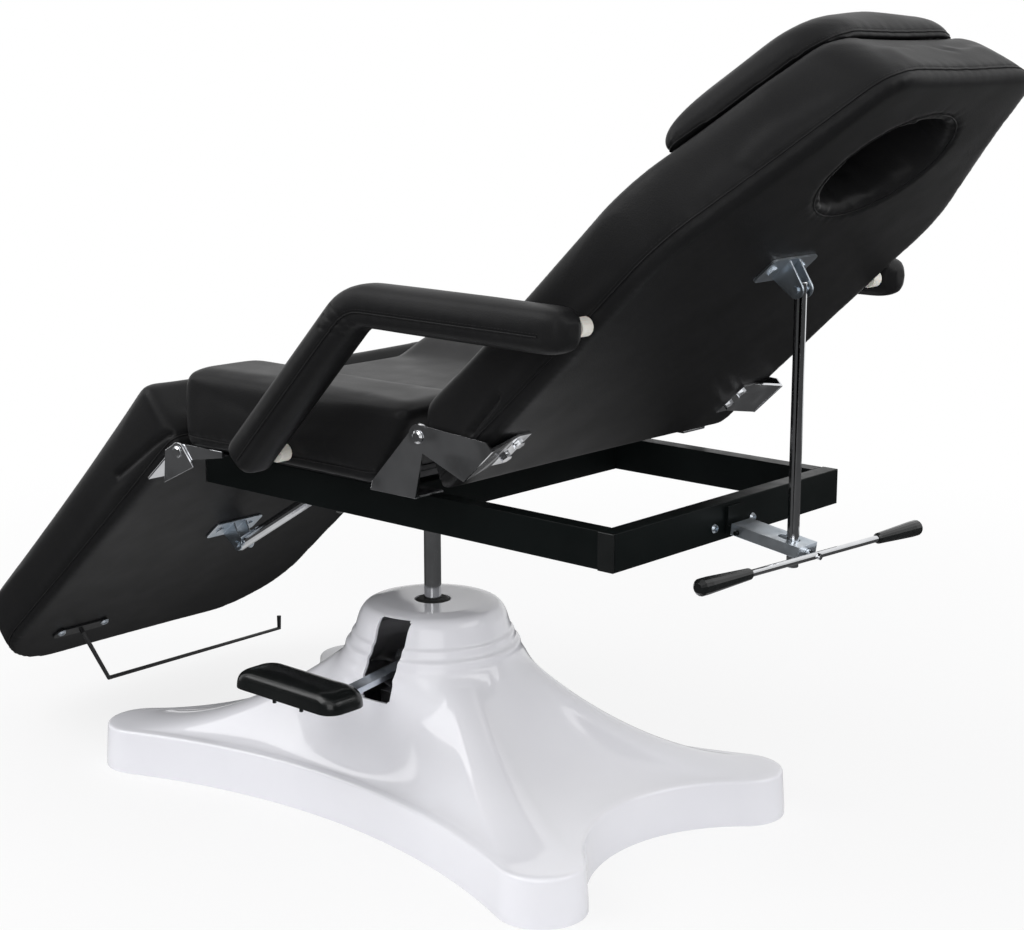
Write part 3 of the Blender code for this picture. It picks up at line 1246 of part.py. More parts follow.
def build_clamp(name, axis, reach, length, slip, strut_radius, web, skirt, tail):
    """A folded channel that swings on its pin; the strut runs through a slot in its web."""
    half = CLAMP_HALF_WIDTH
    way = 1.0 if web > skirt else -1.0
    under_web = web - way * SHEET
    inner = half - SHEET
    section = [(-half, skirt), (-half, web), (half, web), (half, skirt),
               (inner, skirt), (inner, under_web), (-inner, under_web), (-inner, skirt)]
    channel = piece(name, extruded([section], "X", -tail, length), "zinc", axis)
    wall_low, wall_high = sorted((skirt, web - way * SHEET / 2.0))
    wall = box((length - SHEET, -half + SHEET / 2.0, wall_low), (length, half - SHEET / 2.0, wall_high))
    join(channel, helper(name + "_end", wall, axis))
    play = strut_radius + CLAMP_PLAY
    slot = extruded([stadium((reach, 0.0), play, slip, CLAMP_STOP, 0.0)], "Z", 0.0, 2.0 * web)
    pin_hole = rod((0.0, -HOLE_REACH, 0.0), (0.0, HOLE_REACH, 0.0), CLAMP_PIN_RADIUS + RUN)
    spindle_hole = rod((length - SPINDLE_HOLE, 0.0, 0.0), (length + SPINDLE_HOLE, 0.0, 0.0),
                       SPINDLE_RADIUS + RUN)
    for label, cutter in (("slot", slot), ("pin_hole", pin_hole), ("spindle_hole", spindle_hole)):
        cut(channel, helper("%s_%s" % (name, label), cutter, axis))


def build_clamp_ears(name, parent, bar_face, pivot, outward, inside):
    """A bracket with two ears on a cross bar, with the pin that its clamp swings on."""
    if inside:
        outer = CLAMP_HALF_WIDTH - SHEET - PLATE_GAP
        tip = CLAMP_PIN_RADIUS + CLAMP_INNER_RIM
    else:
        outer = CLAMP_HALF_WIDTH + PLATE_GAP + CLAMP_EAR
        tip = CLAMP_PIN_RADIUS + CLAMP_EAR_RIM
    inner = outer - CLAMP_EAR
    base_low = pivot[1] - CLAMP_EAR_FOOT
    base_top = pivot[1] + CLAMP_EAR_HEIGHT
    start = bar_face + outward * TOUCH
    edges = sorted((start, start + outward * CLAMP_EAR))
    ears = piece(name, box((edges[0], -outer, base_low), (edges[1], outer, base_top)), "frame_paint", parent)
    ear_top = pivot[1] + tip if inside else base_top
    if outward > 0:
        outline = [(start, ear_top), (start, base_low), *arc(pivot, tip, -90.0, 90.0, 10)]
    else:
        outline = [(start, base_low), (start, ear_top), *arc(pivot, tip, 90.0, 270.0, 10)]
    for label, side in SIDES.items():
        ear = extruded([outline], "Y", side * inner, side * outer)
        join(ears, helper("%s_%s" % (name, label), ear, parent))
    end = max(outer, CLAMP_HALF_WIDTH) + CLAMP_PIN_END
    pin = rod((pivot[0], -end, pivot[1]), (pivot[0], end, pivot[1]), CLAMP_PIN_RADIUS)
    join(ears, helper(name + "_pin", pin, parent))


def build_handle(axis, reach):
    """The cross handle of the backrest's clamp: a screw, a bar and two grips."""
    screw_start = reach + STRUT_RADIUS + SCREW_GAP
    screw_end = HANDLE_OUT + HANDLE_RADIUS + SPINDLE_END
    bar_end = HANDLE_HALF_LENGTH - GRIP_STOP
    bar_mesh = rod((HANDLE_OUT, -bar_end, 0.0), (HANDLE_OUT, bar_end, 0.0), HANDLE_RADIUS)
    bar = piece("clamp_handle", bar_mesh, "chrome", axis)
    screw = rod((screw_start, 0.0, 0.0), (screw_end, 0.0, 0.0), SPINDLE_RADIUS)
    join(bar, helper("clamp_screw", screw, axis))
    inner = HANDLE_HALF_LENGTH - GRIP_LENGTH
    bore = HANDLE_RADIUS + TOUCH
    stop = bar_end + TOUCH
    profile = (
        (0.0, HANDLE_HALF_LENGTH), (GRIP_RADIUS - GRIP_END_NARROW, HANDLE_HALF_LENGTH),
        (GRIP_RADIUS, HANDLE_HALF_LENGTH - GRIP_END_ROUND), (GRIP_RADIUS, HANDLE_HALF_LENGTH - GRIP_BULGE),
        (GRIP_NECK_RADIUS, inner + GRIP_COLLAR), (GRIP_NECK_RADIUS - GRIP_COLLAR_STEP, inner),
        (bore, inner), (bore, stop), (0.0, stop))
    for name, side in SIDES.items():
        turn = Matrix.Translation((HANDLE_OUT, 0.0, 0.0)) @ Matrix.Rotation(radians(-90.0 * side), 4, "X")
        piece("handle_grip_" + name, moved(turned(profile, steps=SMALL_ROUND), turn), "black_plastic", axis)


def build_knob(axis, reach):
    """The round knob that screws the leg rest's clamp onto its strut."""
    start = reach + LEG_STRUT_RADIUS + KNOB_SCREW_GAP
    inner = LEG_CLAMP_LENGTH + KNOB_GAP
    end = inner + KNOB_LENGTH
    profile = (
        (0.0, end), (KNOB_RADIUS - KNOB_EDGE, end), (KNOB_RADIUS, end - KNOB_EDGE),
        (KNOB_RADIUS, inner + KNOB_GAP), (KNOB_RADIUS - KNOB_BACK, inner),
        (SPINDLE_RADIUS, inner), (SPINDLE_RADIUS, start), (0.0, start))
    mesh = moved(turned(profile, steps=SMALL_ROUND), Matrix.Rotation(radians(90.0), 4, "Y"))
    piece("leg_clamp_knob", mesh, "black_plastic", axis)


def from_hinge(hinge_x, hinge_z, angle, along, square):
    """World X and Z of a point given along and square to a tilted panel."""
    turn = radians(angle)
    return (hinge_x + along * cos(turn) - square * sin(turn),
            hinge_z + along * sin(turn) + square * cos(turn))


def build_back_support(swivel):
    pin_x, pin_z = from_hinge(BACK_HINGE_X, BACK_HINGE_Z, BACK_ANGLE,
                              BACK_CLEVIS_S, BACK_UNDERSIDE - BACK_CLEVIS_DROP)
    strut_axis = joint_empty("back_strut_axis", (pin_x, 0.0, pin_z))
    build_strut("back_strut", strut_axis, STRUT_RADIUS, STRUT_LENGTH)
    pivot = (CLAMP_PIVOT_X, CLAMP_PIVOT_Z)
    build_clamp_ears("rear_clamp_ears", swivel, FRAME_REAR, pivot, 1, True)
    clamp_axis = joint_empty("back_clamp_axis", (pivot[0], 0.0, pivot[1]), CLAMP_TILT)
    tilt = radians(CLAMP_TILT)
    reach = (pin_x - pivot[0]) / cos(tilt) - CLAMP_WEB_Z * sin(tilt)
    build_clamp("back_clamp", clamp_axis, reach, CLAMP_LENGTH, CLAMP_SLIP, STRUT_RADIUS,
                CLAMP_WEB_Z, CLAMP_SKIRT_Z, CLAMP_TAIL)
    handle_axis = joint_empty("clamp_handle_axis", (0.0, 0.0, 0.0))
    handle_axis.rotation_euler = (radians(HANDLE_TURN), 0.0, 0.0)
    handle_axis.parent = clamp_axis
    build_handle(handle_axis, reach)


def build_leg_support(swivel):
    pin_x, pin_z = from_hinge(LEG_HINGE_X, LEG_HINGE_Z, LEG_ANGLE,
                              -LEG_CLEVIS_S, LEG_UNDERSIDE - LEG_CLEVIS_DROP)
    strut_axis = joint_empty("leg_strut_axis", (pin_x, 0.0, pin_z), -LEG_STRUT_ANGLE - 90.0)
    build_strut("leg_strut", strut_axis, LEG_STRUT_RADIUS, LEG_STRUT_LENGTH)
    pivot = (FRAME_FRONT - LEG_CLAMP_OUT, LEG_CLAMP_PIVOT_Z)
    build_clamp_ears("front_clamp_ears", swivel, FRAME_FRONT, pivot, -1, False)
    angle = radians(LEG_STRUT_ANGLE)
    reach = (pin_x - pivot[0]) * sin(angle) - (pin_z - pivot[1]) * cos(angle)
    clamp_axis = joint_empty("leg_clamp_axis", (pivot[0], 0.0, pivot[1]), 90.0 - LEG_STRUT_ANGLE)
    build_clamp("leg_clamp", clamp_axis, reach, LEG_CLAMP_LENGTH, LEG_CLAMP_SLIP, LEG_STRUT_RADIUS,
                -CLAMP_WEB_Z, LEG_CLAMP_SKIRT_Z, LEG_CLAMP_TAIL)
    knob_axis = joint_empty("leg_clamp_knob_axis", (0.0, 0.0, 0.0))
    knob_axis.parent = clamp_axis
    build_knob(knob_axis, reach)


def main():
    build_base()
    build_column()
    swivel = build_frame()
    build_backrest()
    build_legrest()
    build_armrests(swivel)
    build_back_support(swivel)
    build_leg_support(swivel)
    bpy.context.view_layer.update()


main()
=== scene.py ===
"""Looks of the hydraulic treatment table: upholstery, plated steel, paint and mouldings around its solids.

Metres, +Z up. +X points to the head end, and left is the -Y side.
"""
import json
from math import atan2, ceil, cos, degrees, pi, radians, sin, tan

import bmesh
import bpy
import numpy as np
from mathutils import Matrix, Vector
from mathutils.bvhtree import BVHTree
from mathutils.kdtree import KDTree


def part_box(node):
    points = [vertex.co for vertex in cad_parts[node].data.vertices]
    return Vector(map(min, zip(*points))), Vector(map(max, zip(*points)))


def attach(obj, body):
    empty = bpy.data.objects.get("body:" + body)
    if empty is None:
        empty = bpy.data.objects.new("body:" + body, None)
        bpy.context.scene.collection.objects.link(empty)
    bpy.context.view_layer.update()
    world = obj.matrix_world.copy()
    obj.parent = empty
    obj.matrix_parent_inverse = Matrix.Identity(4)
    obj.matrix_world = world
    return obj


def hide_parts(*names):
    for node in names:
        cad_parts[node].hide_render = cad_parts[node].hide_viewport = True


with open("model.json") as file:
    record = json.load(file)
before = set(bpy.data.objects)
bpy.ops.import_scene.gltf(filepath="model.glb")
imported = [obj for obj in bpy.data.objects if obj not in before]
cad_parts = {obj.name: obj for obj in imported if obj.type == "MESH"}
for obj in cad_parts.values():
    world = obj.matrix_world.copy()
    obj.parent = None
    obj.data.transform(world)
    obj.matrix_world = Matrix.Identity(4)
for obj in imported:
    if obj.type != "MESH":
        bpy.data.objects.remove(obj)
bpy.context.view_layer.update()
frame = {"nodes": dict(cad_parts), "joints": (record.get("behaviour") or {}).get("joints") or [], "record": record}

JOINTS = {joint["name"]: joint for joint in frame["joints"]}
SIDES = {"left": -1, "right": 1}

# Camera, as the photograph was taken
CAMERA_PLACE = (1.9964, -2.0663, 1.1281)
CAMERA_AZIMUTH = 41.606
CAMERA_ELEVATION = 12.185
CAMERA_LENS = 68.67

# Studio
DAYLIGHT = 0.55           # what the surroundings give as light
ROOM_LEVEL = 0.03         # how bright mirrors see the room on the near side
BACKDROP_WAY = (-0.664, 0.748, 0.0)   # where the bright backdrop stands
FLOOR_RADIUS, FLOOR_DROP = 30.0, 0.0005
LAMP_AIM = (0.1, 0.0, 0.5)
LAMPS = {"key": ((-1.6, -2.4, 3.0), 3.0, 80.0), "rear": ((2.6, 1.2, 2.6), 2.4, 40.0),
         "side": ((2.6, -3.0, 1.8), 2.6, 38.0)}   # place, size and power

# Upholstered panels
PAD_HALF_WIDTH = 0.310
SIDE_DRAW = 0.004
CORNER_RADIUS = 0.016
CROWN, CROWN_POWER = 0.007, 2.5
CROWN_SHARES = (0.14, 0.24, 0.38, 0.55, 0.75, 0.95)   # rings over a pad, from its edge to its spine
UNDER_SHARES = (0.9, 0.6, 0.3)                        # rings under a pad, from its spine to its edge
SPINE_REACH = 0.45        # how far in the spine lies, as a share of the narrower side
SIDE_BULGE, RING_GAP = 0.0015, 0.0005
COVER_ROOM = 0.002        # how much thinner a pad is before it is stuffed
LEAN_REACH, HEAD_LEAN_REACH = 2.4, 3.0
LOW_EDGE = 0.010          # rounding along a panel's underside
TOP_EDGE = 0.020          # rounding along a panel's top
LOW_SEAM = 0.017          # height of the sewn line above the underside
SEAT_FRONT, SEAT_REAR = -0.200, 0.262
SEAT_UNDERSIDE, SEAT_THICK, SEAT_LIFT = 0.557, 0.114, 0.0006
SEAT_REAR_LEAN = 0.075
SEAT_DISH, SEAT_DISH_INNER, SEAT_DISH_OUTER = 0.030, 0.100, 0.200
BACK_UNDERSIDE, BACK_THICK = -0.072, 0.105
BACK_FOOT, BACK_SHOULDER, BACK_HEAD = -0.033, 0.455, 0.745
BACK_HEAD_HALF_WIDTH, BACK_SHOULDER_RADIUS, BACK_HEAD_RADIUS = 0.162, 0.20, 0.060
BACK_FOOT_LEAN, BACK_HEAD_LEAN = 0.055, 0.040
FACE_HOLE_S, FACE_HOLE_LENGTH, FACE_HOLE_WIDTH = 0.585, 0.164, 0.206
FACE_RIM, FACE_HOLE_CUT, FACE_HOLE_POINTS = 0.020, 0.2, 72
LEG_UNDERSIDE, LEG_KNEE_THICK, LEG_FOOT_THICK = 0.0103, 0.120, 0.086
LEG_KNEE, LEG_FOOT, LEG_FOOT_CORNER = 0.004, 0.712, 0.140
PILLOW_LOW, PILLOW_HIGH = 0.497, 0.704
PILLOW_LOW_HALF_WIDTH, PILLOW_HIGH_HALF_WIDTH = 0.268, 0.138
PILLOW_LOW_RADIUS, PILLOW_HIGH_RADIUS, PILLOW_BOW_RADIUS = 0.016, 0.085, 2.0
PILLOW_HEIGHT, PILLOW_HOLLOW, PILLOW_GAP, PILLOW_SEAM = 0.087, 0.0065, 0.0025, 0.002
PILLOW_RINGS, PILLOW_CLOSING, PILLOW_SPINE_REACH = 14, 0.99, 0.4995
PILLOW_BOXINESS, PILLOW_RIDGE_ROUND = 0.63, 0.035
PILLOW_HEAD_FALL, PILLOW_SIDE_FALL, PILLOW_LOW_BOW = 0.19, 0.60, 0.013
PILLOW_DROOP, PILLOW_DROOP_START, PILLOW_DROOP_LENGTH = 0.007, 0.668, 0.034
# Folds near the hinges on the left side, along, across and square to their panel
BACK_FOLD = ((0.072, -0.311, -0.046), (0.104, -0.311, -0.0425), (0.137, -0.311, -0.039))
LEG_FOLD = ((-0.006, -0.311, 0.036), (-0.055, -0.311, 0.046), (-0.159, -0.311, 0.060))

# Armrests
ARM_FOOT = (-0.005, 0.571)
ARM_ELBOW = (0.223, 0.807)
ARM_END = (0.576, 0.804)
ARM_CENTRE_Y = 0.3605
ARM_WIDTH, ARM_HEIGHT = 0.060, 0.058
ARM_ELBOW_RADIUS, ARM_STEP, ARM_SIDES, ARM_SQUARENESS = 0.072, 0.008, 40, 3.2
ARM_FOOT_ROUND, ARM_END_ROUND, ARM_COVER_ROOM, ARM_SEAM_DROP = 0.016, 0.036, 0.001, 0.006
ELBOW_FOLDS = (((0.185, 0.793), (0.228, 0.777)), ((0.198, 0.806), (0.238, 0.783)),
               ((0.180, 0.776), (0.220, 0.767)))

# Screws
SCREW_HEIGHT, REAR_SCREW_RADIUS, ROLL_SCREW_RADIUS = 0.0032, 0.0062, 0.0078
REAR_SCREW_Y, REAR_SCREW_Z = 0.043, 0.5095
ROLL_PLATE_S, ROLL_PLATE_Y, ROLL_PLATE_THICK, ROLL_SCREW_REACH = 0.604, -0.168, 0.006, 0.044
HEAD_TAPER, RECESS_LENGTH, RECESS_WIDTH, RECESS_DEPTH = 0.72, 1.1, 0.24, 0.6   # shares of the radius

# Floor base
LOBE_RADIUS = 0.064
LOBE_POINTS, LONG_SIDE_POINTS, SHORT_SIDE_POINTS = 22, 84, 44
WAIST_X, WAIST_Y = 0.378, 0.208
SKIRT_HEIGHT, SKIRT_FOOT, SKIRT_DRAFT = 0.068, 0.010, 0.004
SKIRT_LIP, SKIRT_RISE, SKIRT_ROUND = 0.016, 0.001, 0.011
COVER_WALL = 0.004
RIDGE_POWER, RIDGE_RINGS, RIDGE_ROUNDS = 2.1, 33, 60
PLATE_RINGS = ((0.0075, 0, 0.0), (0.0060, 0, 0.0010), (0.0060, 1, -0.0010),
               (0.0075, 1, 0.0))    # inset, share of the thickness, further up
DOME_FOOT_RADIUS, DOME_FOOT_HEIGHT = 0.144, 0.212
DOME_BANDS = ((0, 0.0, 0.0), (1, 0.0, 0.014), (1, 0.002, 0.025), (2, 0.0, 0.030), (2, 0.0030, 0.041),
              (2, 0.0075, 0.045))   # quarters of the way in, further in, height over the dome's foot
DOME_TOP_RADIUS, DOME_TOP_FLARE = 0.110, 0.002
DOME_TOP_DROP, DOME_TOP_ROUND, DOME_EASING = 0.018, 0.030, 0.007
COLLAR_RADIUS = 0.028
SLOT_HALF_WIDTH, SLOT_ROUND = 0.027, 0.003
SLOT_BOTTOM, SLOT_TOP, SLOT_INNER_Y = 0.178, 0.294, -0.085
PEDAL_LENGTH, PEDAL_DEPTH, PEDAL_HEIGHT = 0.214, 0.078, 0.030
PEDAL_CORNER, PEDAL_WALL = 0.024, 0.004
PEDAL_STUD_X, PEDAL_STUD_OUT = (-0.024, 0.033), 0.026
PEDAL_STUD_RADIUS, PEDAL_STUD_DROP = 0.003, 0.010
PEDAL_RINGS = ((1.0, 1.0, 0.0), (0.995, 0.985, 0.36), (0.955, 0.93, 0.64), (0.87, 0.80, 0.85),
               (0.72, 0.54, 0.97), (0.40, 0.22, 1.0))   # shares of length, depth and height

# Stuffing
PANEL_VOXEL, PILLOW_VOXEL, ARM_VOXEL = 0.007, 0.005, 0.0045
PAD_PRESSURE, ARM_PRESSURE, CLOTH_STEPS = 4.0, 3.0, 20
SEAT_CAP, PANEL_CAP, PILLOW_CAP, ARM_CAP = 0.004, 0.005, 0.006, 0.0025   # how far a cover may swell
PAD_ROUNDS, ARM_ROUNDS, HELD_BAND = 4, 2, 0.004

# Sewing
WELT_RADIUS, WELT_SINK = 0.0011, 0.35
SEAM_STEP = 0.004
FOLD_DEPTH, FOLD_WIDTH = 0.0070, 0.0042
ELBOW_FOLD_DEPTH, ELBOW_FOLD_WIDTH = 0.0016, 0.0032
GROOVE_DEPTH, GROOVE_WIDTH, GROOVE_REACH = 0.0016, 0.0050, 0.05
PUCKER, PUCKER_PITCH, PUCKER_REACH = 0.0003, 0.023, 0.012
STITCH_PITCH, STITCH_LENGTH, STITCH_THICK = 0.0052, 0.0038, 0.0005
STITCH_BESIDE, STITCH_SINK = 0.0042, 0.25
SHARP_EDGE = radians(40.0)


# Mesh helpers

def mesh_object(name, mesh):
    obj = bpy.data.objects.new(name, mesh)
    bpy.context.scene.collection.objects.link(obj)
    return obj


def baked(obj):
    """The object's evaluated shape as a plain mesh, with its modifiers taken off."""
    bpy.context.view_layer.update()
    graph = bpy.context.evaluated_depsgraph_get()
    mesh = bpy.data.meshes.new_from_object(obj.evaluated_get(graph))
    obj.modifiers.clear()
    return mesh


def bake(obj):
    old = obj.data
    obj.data = baked(obj)
    bpy.data.meshes.remove(old)
    return obj


def mesh_from(bm, name):
    mesh = bpy.data.meshes.new(name)
    bm.to_mesh(mesh)
    bm.free()
    return mesh


def at_height(ring, height):
    """A flat ring of points, lifted to a height."""
    return np.column_stack((ring, np.full(len(ring), height)))


def loft(rings, capped=True):
    """A skin over closed rings of points that all have the same count."""
    bm = bmesh.new()
    rows = [[bm.verts.new(point) for point in ring] for ring in rings]
    count = len(rows[0])
    for low, high in zip(rows, rows[1:]):
        for i in range(count):
            j = (i + 1) % count
            bm.faces.new((low[i], low[j], high[j], high[i]))
    if capped:
        bm.faces.new(rows[0][::-1])
        bm.faces.new(rows[-1])
    bmesh.ops.recalc_face_normals(bm, faces=bm.faces)
    return mesh_from(bm, "loft")


def thickened(obj, thickness):
    """Gives a shell its wall, on the inside."""
    wall = obj.modifiers.new("wall", "SOLIDIFY")
    wall.thickness = thickness
    wall.offset = -1.0
    return bake(obj)


def cut_out(obj, mesh):
    """Takes a closed shape out of a piece."""
    cutter = mesh_object("cutter", mesh)
    opening = obj.modifiers.new("opening", "BOOLEAN")
    opening.object = cutter
    bake(obj)
    bpy.data.objects.remove(cutter)


def tube(points, radius, closed=False, sides=2):
    """A round line through points, as a mesh."""
    curve = bpy.data.curves.new("line", "CURVE")
    curve.dimensions = "3D"
    curve.bevel_depth = radius
    curve.bevel_resolution = sides
    curve.use_fill_caps = not closed
    spline = curve.splines.new("POLY")
    spline.points.add(len(points) - 1)
    for place, point in zip(spline.points, points):
        place.co = (*point, 1.0)
    spline.use_cyclic_u = closed
    holder = mesh_object("line", curve)
    mesh = baked(holder)
    bpy.data.objects.remove(holder)
    bpy.data.curves.remove(curve)
    mesh.shade_smooth()
    return mesh


def joined(meshes):
    """Several meshes as one."""
    bm = bmesh.new()
    for mesh in meshes:
        bm.from_mesh(mesh)
    return mesh_from(bm, "joined")


def arc(centre, radius, start, end, count):
    """Points along an arc, in degrees, both ends included."""
    turns = [radians(start + (end - start) * k / count) for k in range(count + 1)]
    return [(centre[0] + radius * cos(turn), centre[1] + radius * sin(turn)) for turn in turns]


def finish_piece(obj, body, slot, *nodes, material=None):
    """Gives a piece its finish and its body, and hides the solids that it stands for."""
    obj.data.materials.clear()
    obj.data.materials.append(material or FINISHES[slot])
    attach(obj, body)
    if nodes:
        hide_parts(*nodes)


# Node helpers

def plug(tree, value, socket):
    """Links a value to a socket, or sets it there where it is a plain one."""
    if isinstance(value, bpy.types.NodeSocket):
        tree.links.new(value, socket)
    else:
        socket.default_value = value


def grow(tree, kind, settings=None, **inputs):
    """A new node with its settings and its inputs, by name."""
    made = tree.nodes.new(kind)
    for key, value in (settings or {}).items():
        setattr(made, key, value)
    for name, value in inputs.items():
        plug(tree, value, made.inputs[name.replace("_", " ")])
    return made


def ranged(tree, value, start, end, low, high, easing="SMOOTHSTEP"):
    """A value that runs from low to high as another runs from start to end."""
    made = grow(tree, "ShaderNodeMapRange", {"interpolation_type": easing}, Value=value, From_Min=start,
                From_Max=end, To_Min=low, To_Max=high)
    return made.outputs["Result"]


def combined(tree, operation, one, two):
    made = grow(tree, "ShaderNodeMath", {"operation": operation})
    for socket, value in zip(made.inputs, (one, two)):
        plug(tree, value, socket)
    return made.outputs[0]


def blended(tree, share, low, high):
    """low where share is 0, high where it is 1."""
    rest = combined(tree, "MULTIPLY", combined(tree, "SUBTRACT", 1.0, share), low)
    return combined(tree, "ADD", rest, combined(tree, "MULTIPLY", share, high))


def along(tree, vector, way):
    """How far a vector reaches in one direction."""
    made = grow(tree, "ShaderNodeVectorMath", {"operation": "DOT_PRODUCT"})
    tree.links.new(vector, made.inputs[0])
    made.inputs[1].default_value = way
    return made.outputs["Value"]


# Materials

NOISE_RANGE = (0.3, 0.7)  # where a noise has most of its values


class Finish:
    """One node material: a Principled shader with patterns on object coordinates."""

    def __init__(self, name, colour, roughness, metallic=0.0, **sockets):
        self.material = bpy.data.materials.new(name)
        self.material.use_nodes = True
        self.tree = self.material.node_tree
        self.shader = self.tree.nodes["Principled BSDF"]
        self.place = self.tree.nodes.new("ShaderNodeTexCoord").outputs["Object"]
        self.normal = None
        self.shader.inputs["Base Color"].default_value = (*colour, 1.0)
        self.shader.inputs["Roughness"].default_value = roughness
        self.shader.inputs["Metallic"].default_value = metallic
        for socket, value in sockets.items():
            self.shader.inputs[socket.replace("_", " ")].default_value = value

    def noise(self, scale, detail=3.0, stretch=(1.0, 1.0, 1.0)):
        mapping = grow(self.tree, "ShaderNodeMapping", Vector=self.place, Scale=stretch)
        made = grow(self.tree, "ShaderNodeTexNoise", Vector=mapping.outputs[0], Scale=scale, Detail=detail)
        return made.outputs["Fac"]

    def grain(self, scale):
        made = grow(self.tree, "ShaderNodeTexVoronoi", {"feature": "SMOOTH_F1"}, Vector=self.place,
                    Scale=scale)
        return made.outputs["Distance"]

    def tint(self, value, low, high):
        """Base colour that runs between two colours with a pattern."""
        ramp = grow(self.tree, "ShaderNodeValToRGB", Fac=value)
        for element, place, colour in zip(ramp.color_ramp.elements, NOISE_RANGE, (low, high)):
            element.position = place
            element.color = (*colour, 1.0)
        self.tree.links.new(ramp.outputs["Color"], self.shader.inputs["Base Color"])

    def rough(self, value, low, high):
        level = ranged(self.tree, value, *NOISE_RANGE, low, high, "LINEAR")
        self.tree.links.new(level, self.shader.inputs["Roughness"])

    def bump(self, height, depth, strength):
        made = grow(self.tree, "ShaderNodeBump", Height=height, Distance=depth, Strength=strength)
        if self.normal:
            self.tree.links.new(self.normal, made.inputs["Normal"])
        self.normal = made.outputs["Normal"]
        self.tree.links.new(self.normal, self.shader.inputs["Normal"])


def noise_finish(name, colour, roughness, metallic, tint, gloss, *relief, **sockets):
    """A finish whose colour, gloss and relief each follow a noise, given as scale, detail and effect."""
    made = Finish(name, colour, roughness, metallic, **sockets)
    scale, detail, low, high = tint
    made.tint(made.noise(scale, detail), low, high)
    scale, detail, low, high = gloss
    made.rough(made.noise(scale, detail), low, high)
    for scale, detail, depth, strength in relief:
        made.bump(made.noise(scale, detail), depth, strength)
    return made.material


def make_vinyl():
    made = Finish("black_vinyl", (0.0095, 0.0095, 0.010), 0.42, Specular_IOR_Level=0.12)
    made.tint(made.noise(9.0, 4.0), (0.0085, 0.0085, 0.009), (0.0105, 0.0105, 0.011))
    made.rough(made.noise(14.0, 5.0), 0.38, 0.46)
    made.bump(made.noise(7.0, 1.0), 0.0010, 0.08)
    made.bump(made.grain(620.0), 0.00035, 0.45)
    made.bump(made.noise(1500.0, 2.0), 0.00008, 0.5)
    return made.material


def make_thread():
    made = Finish("black_thread", (0.012, 0.012, 0.013), 0.60, Specular_IOR_Level=0.3)
    made.tint(made.noise(700.0), (0.008, 0.008, 0.009), (0.020, 0.020, 0.021))
    made.bump(made.noise(2500.0), 0.0001, 0.6)
    return made.material


def make_steel():
    made = Finish("plain_steel", (0.30, 0.30, 0.31), 0.45, 1.0)
    made.tint(made.noise(35.0, 6.0), (0.24, 0.24, 0.25), (0.36, 0.36, 0.37))
    made.rough(made.noise(200.0, 4.0, (1.0, 1.0, 0.1)), 0.36, 0.52)
    made.bump(made.noise(700.0, 3.0), 0.0001, 0.3)
    return made.material


def make_lining():
    """Woven black cloth stapled under a board."""
    made = Finish("black_lining", (0.015, 0.015, 0.016), 0.85, Specular_IOR_Level=0.2)
    weave = grow(made.tree, "ShaderNodeTexChecker", Vector=made.place, Scale=900.0)
    made.tint(made.noise(70.0, 5.0), (0.010, 0.010, 0.011), (0.022, 0.022, 0.023))
    made.rough(made.noise(300.0, 3.0), 0.75, 0.95)
    made.bump(weave.outputs["Fac"], 0.0002, 0.5)
    return made.material


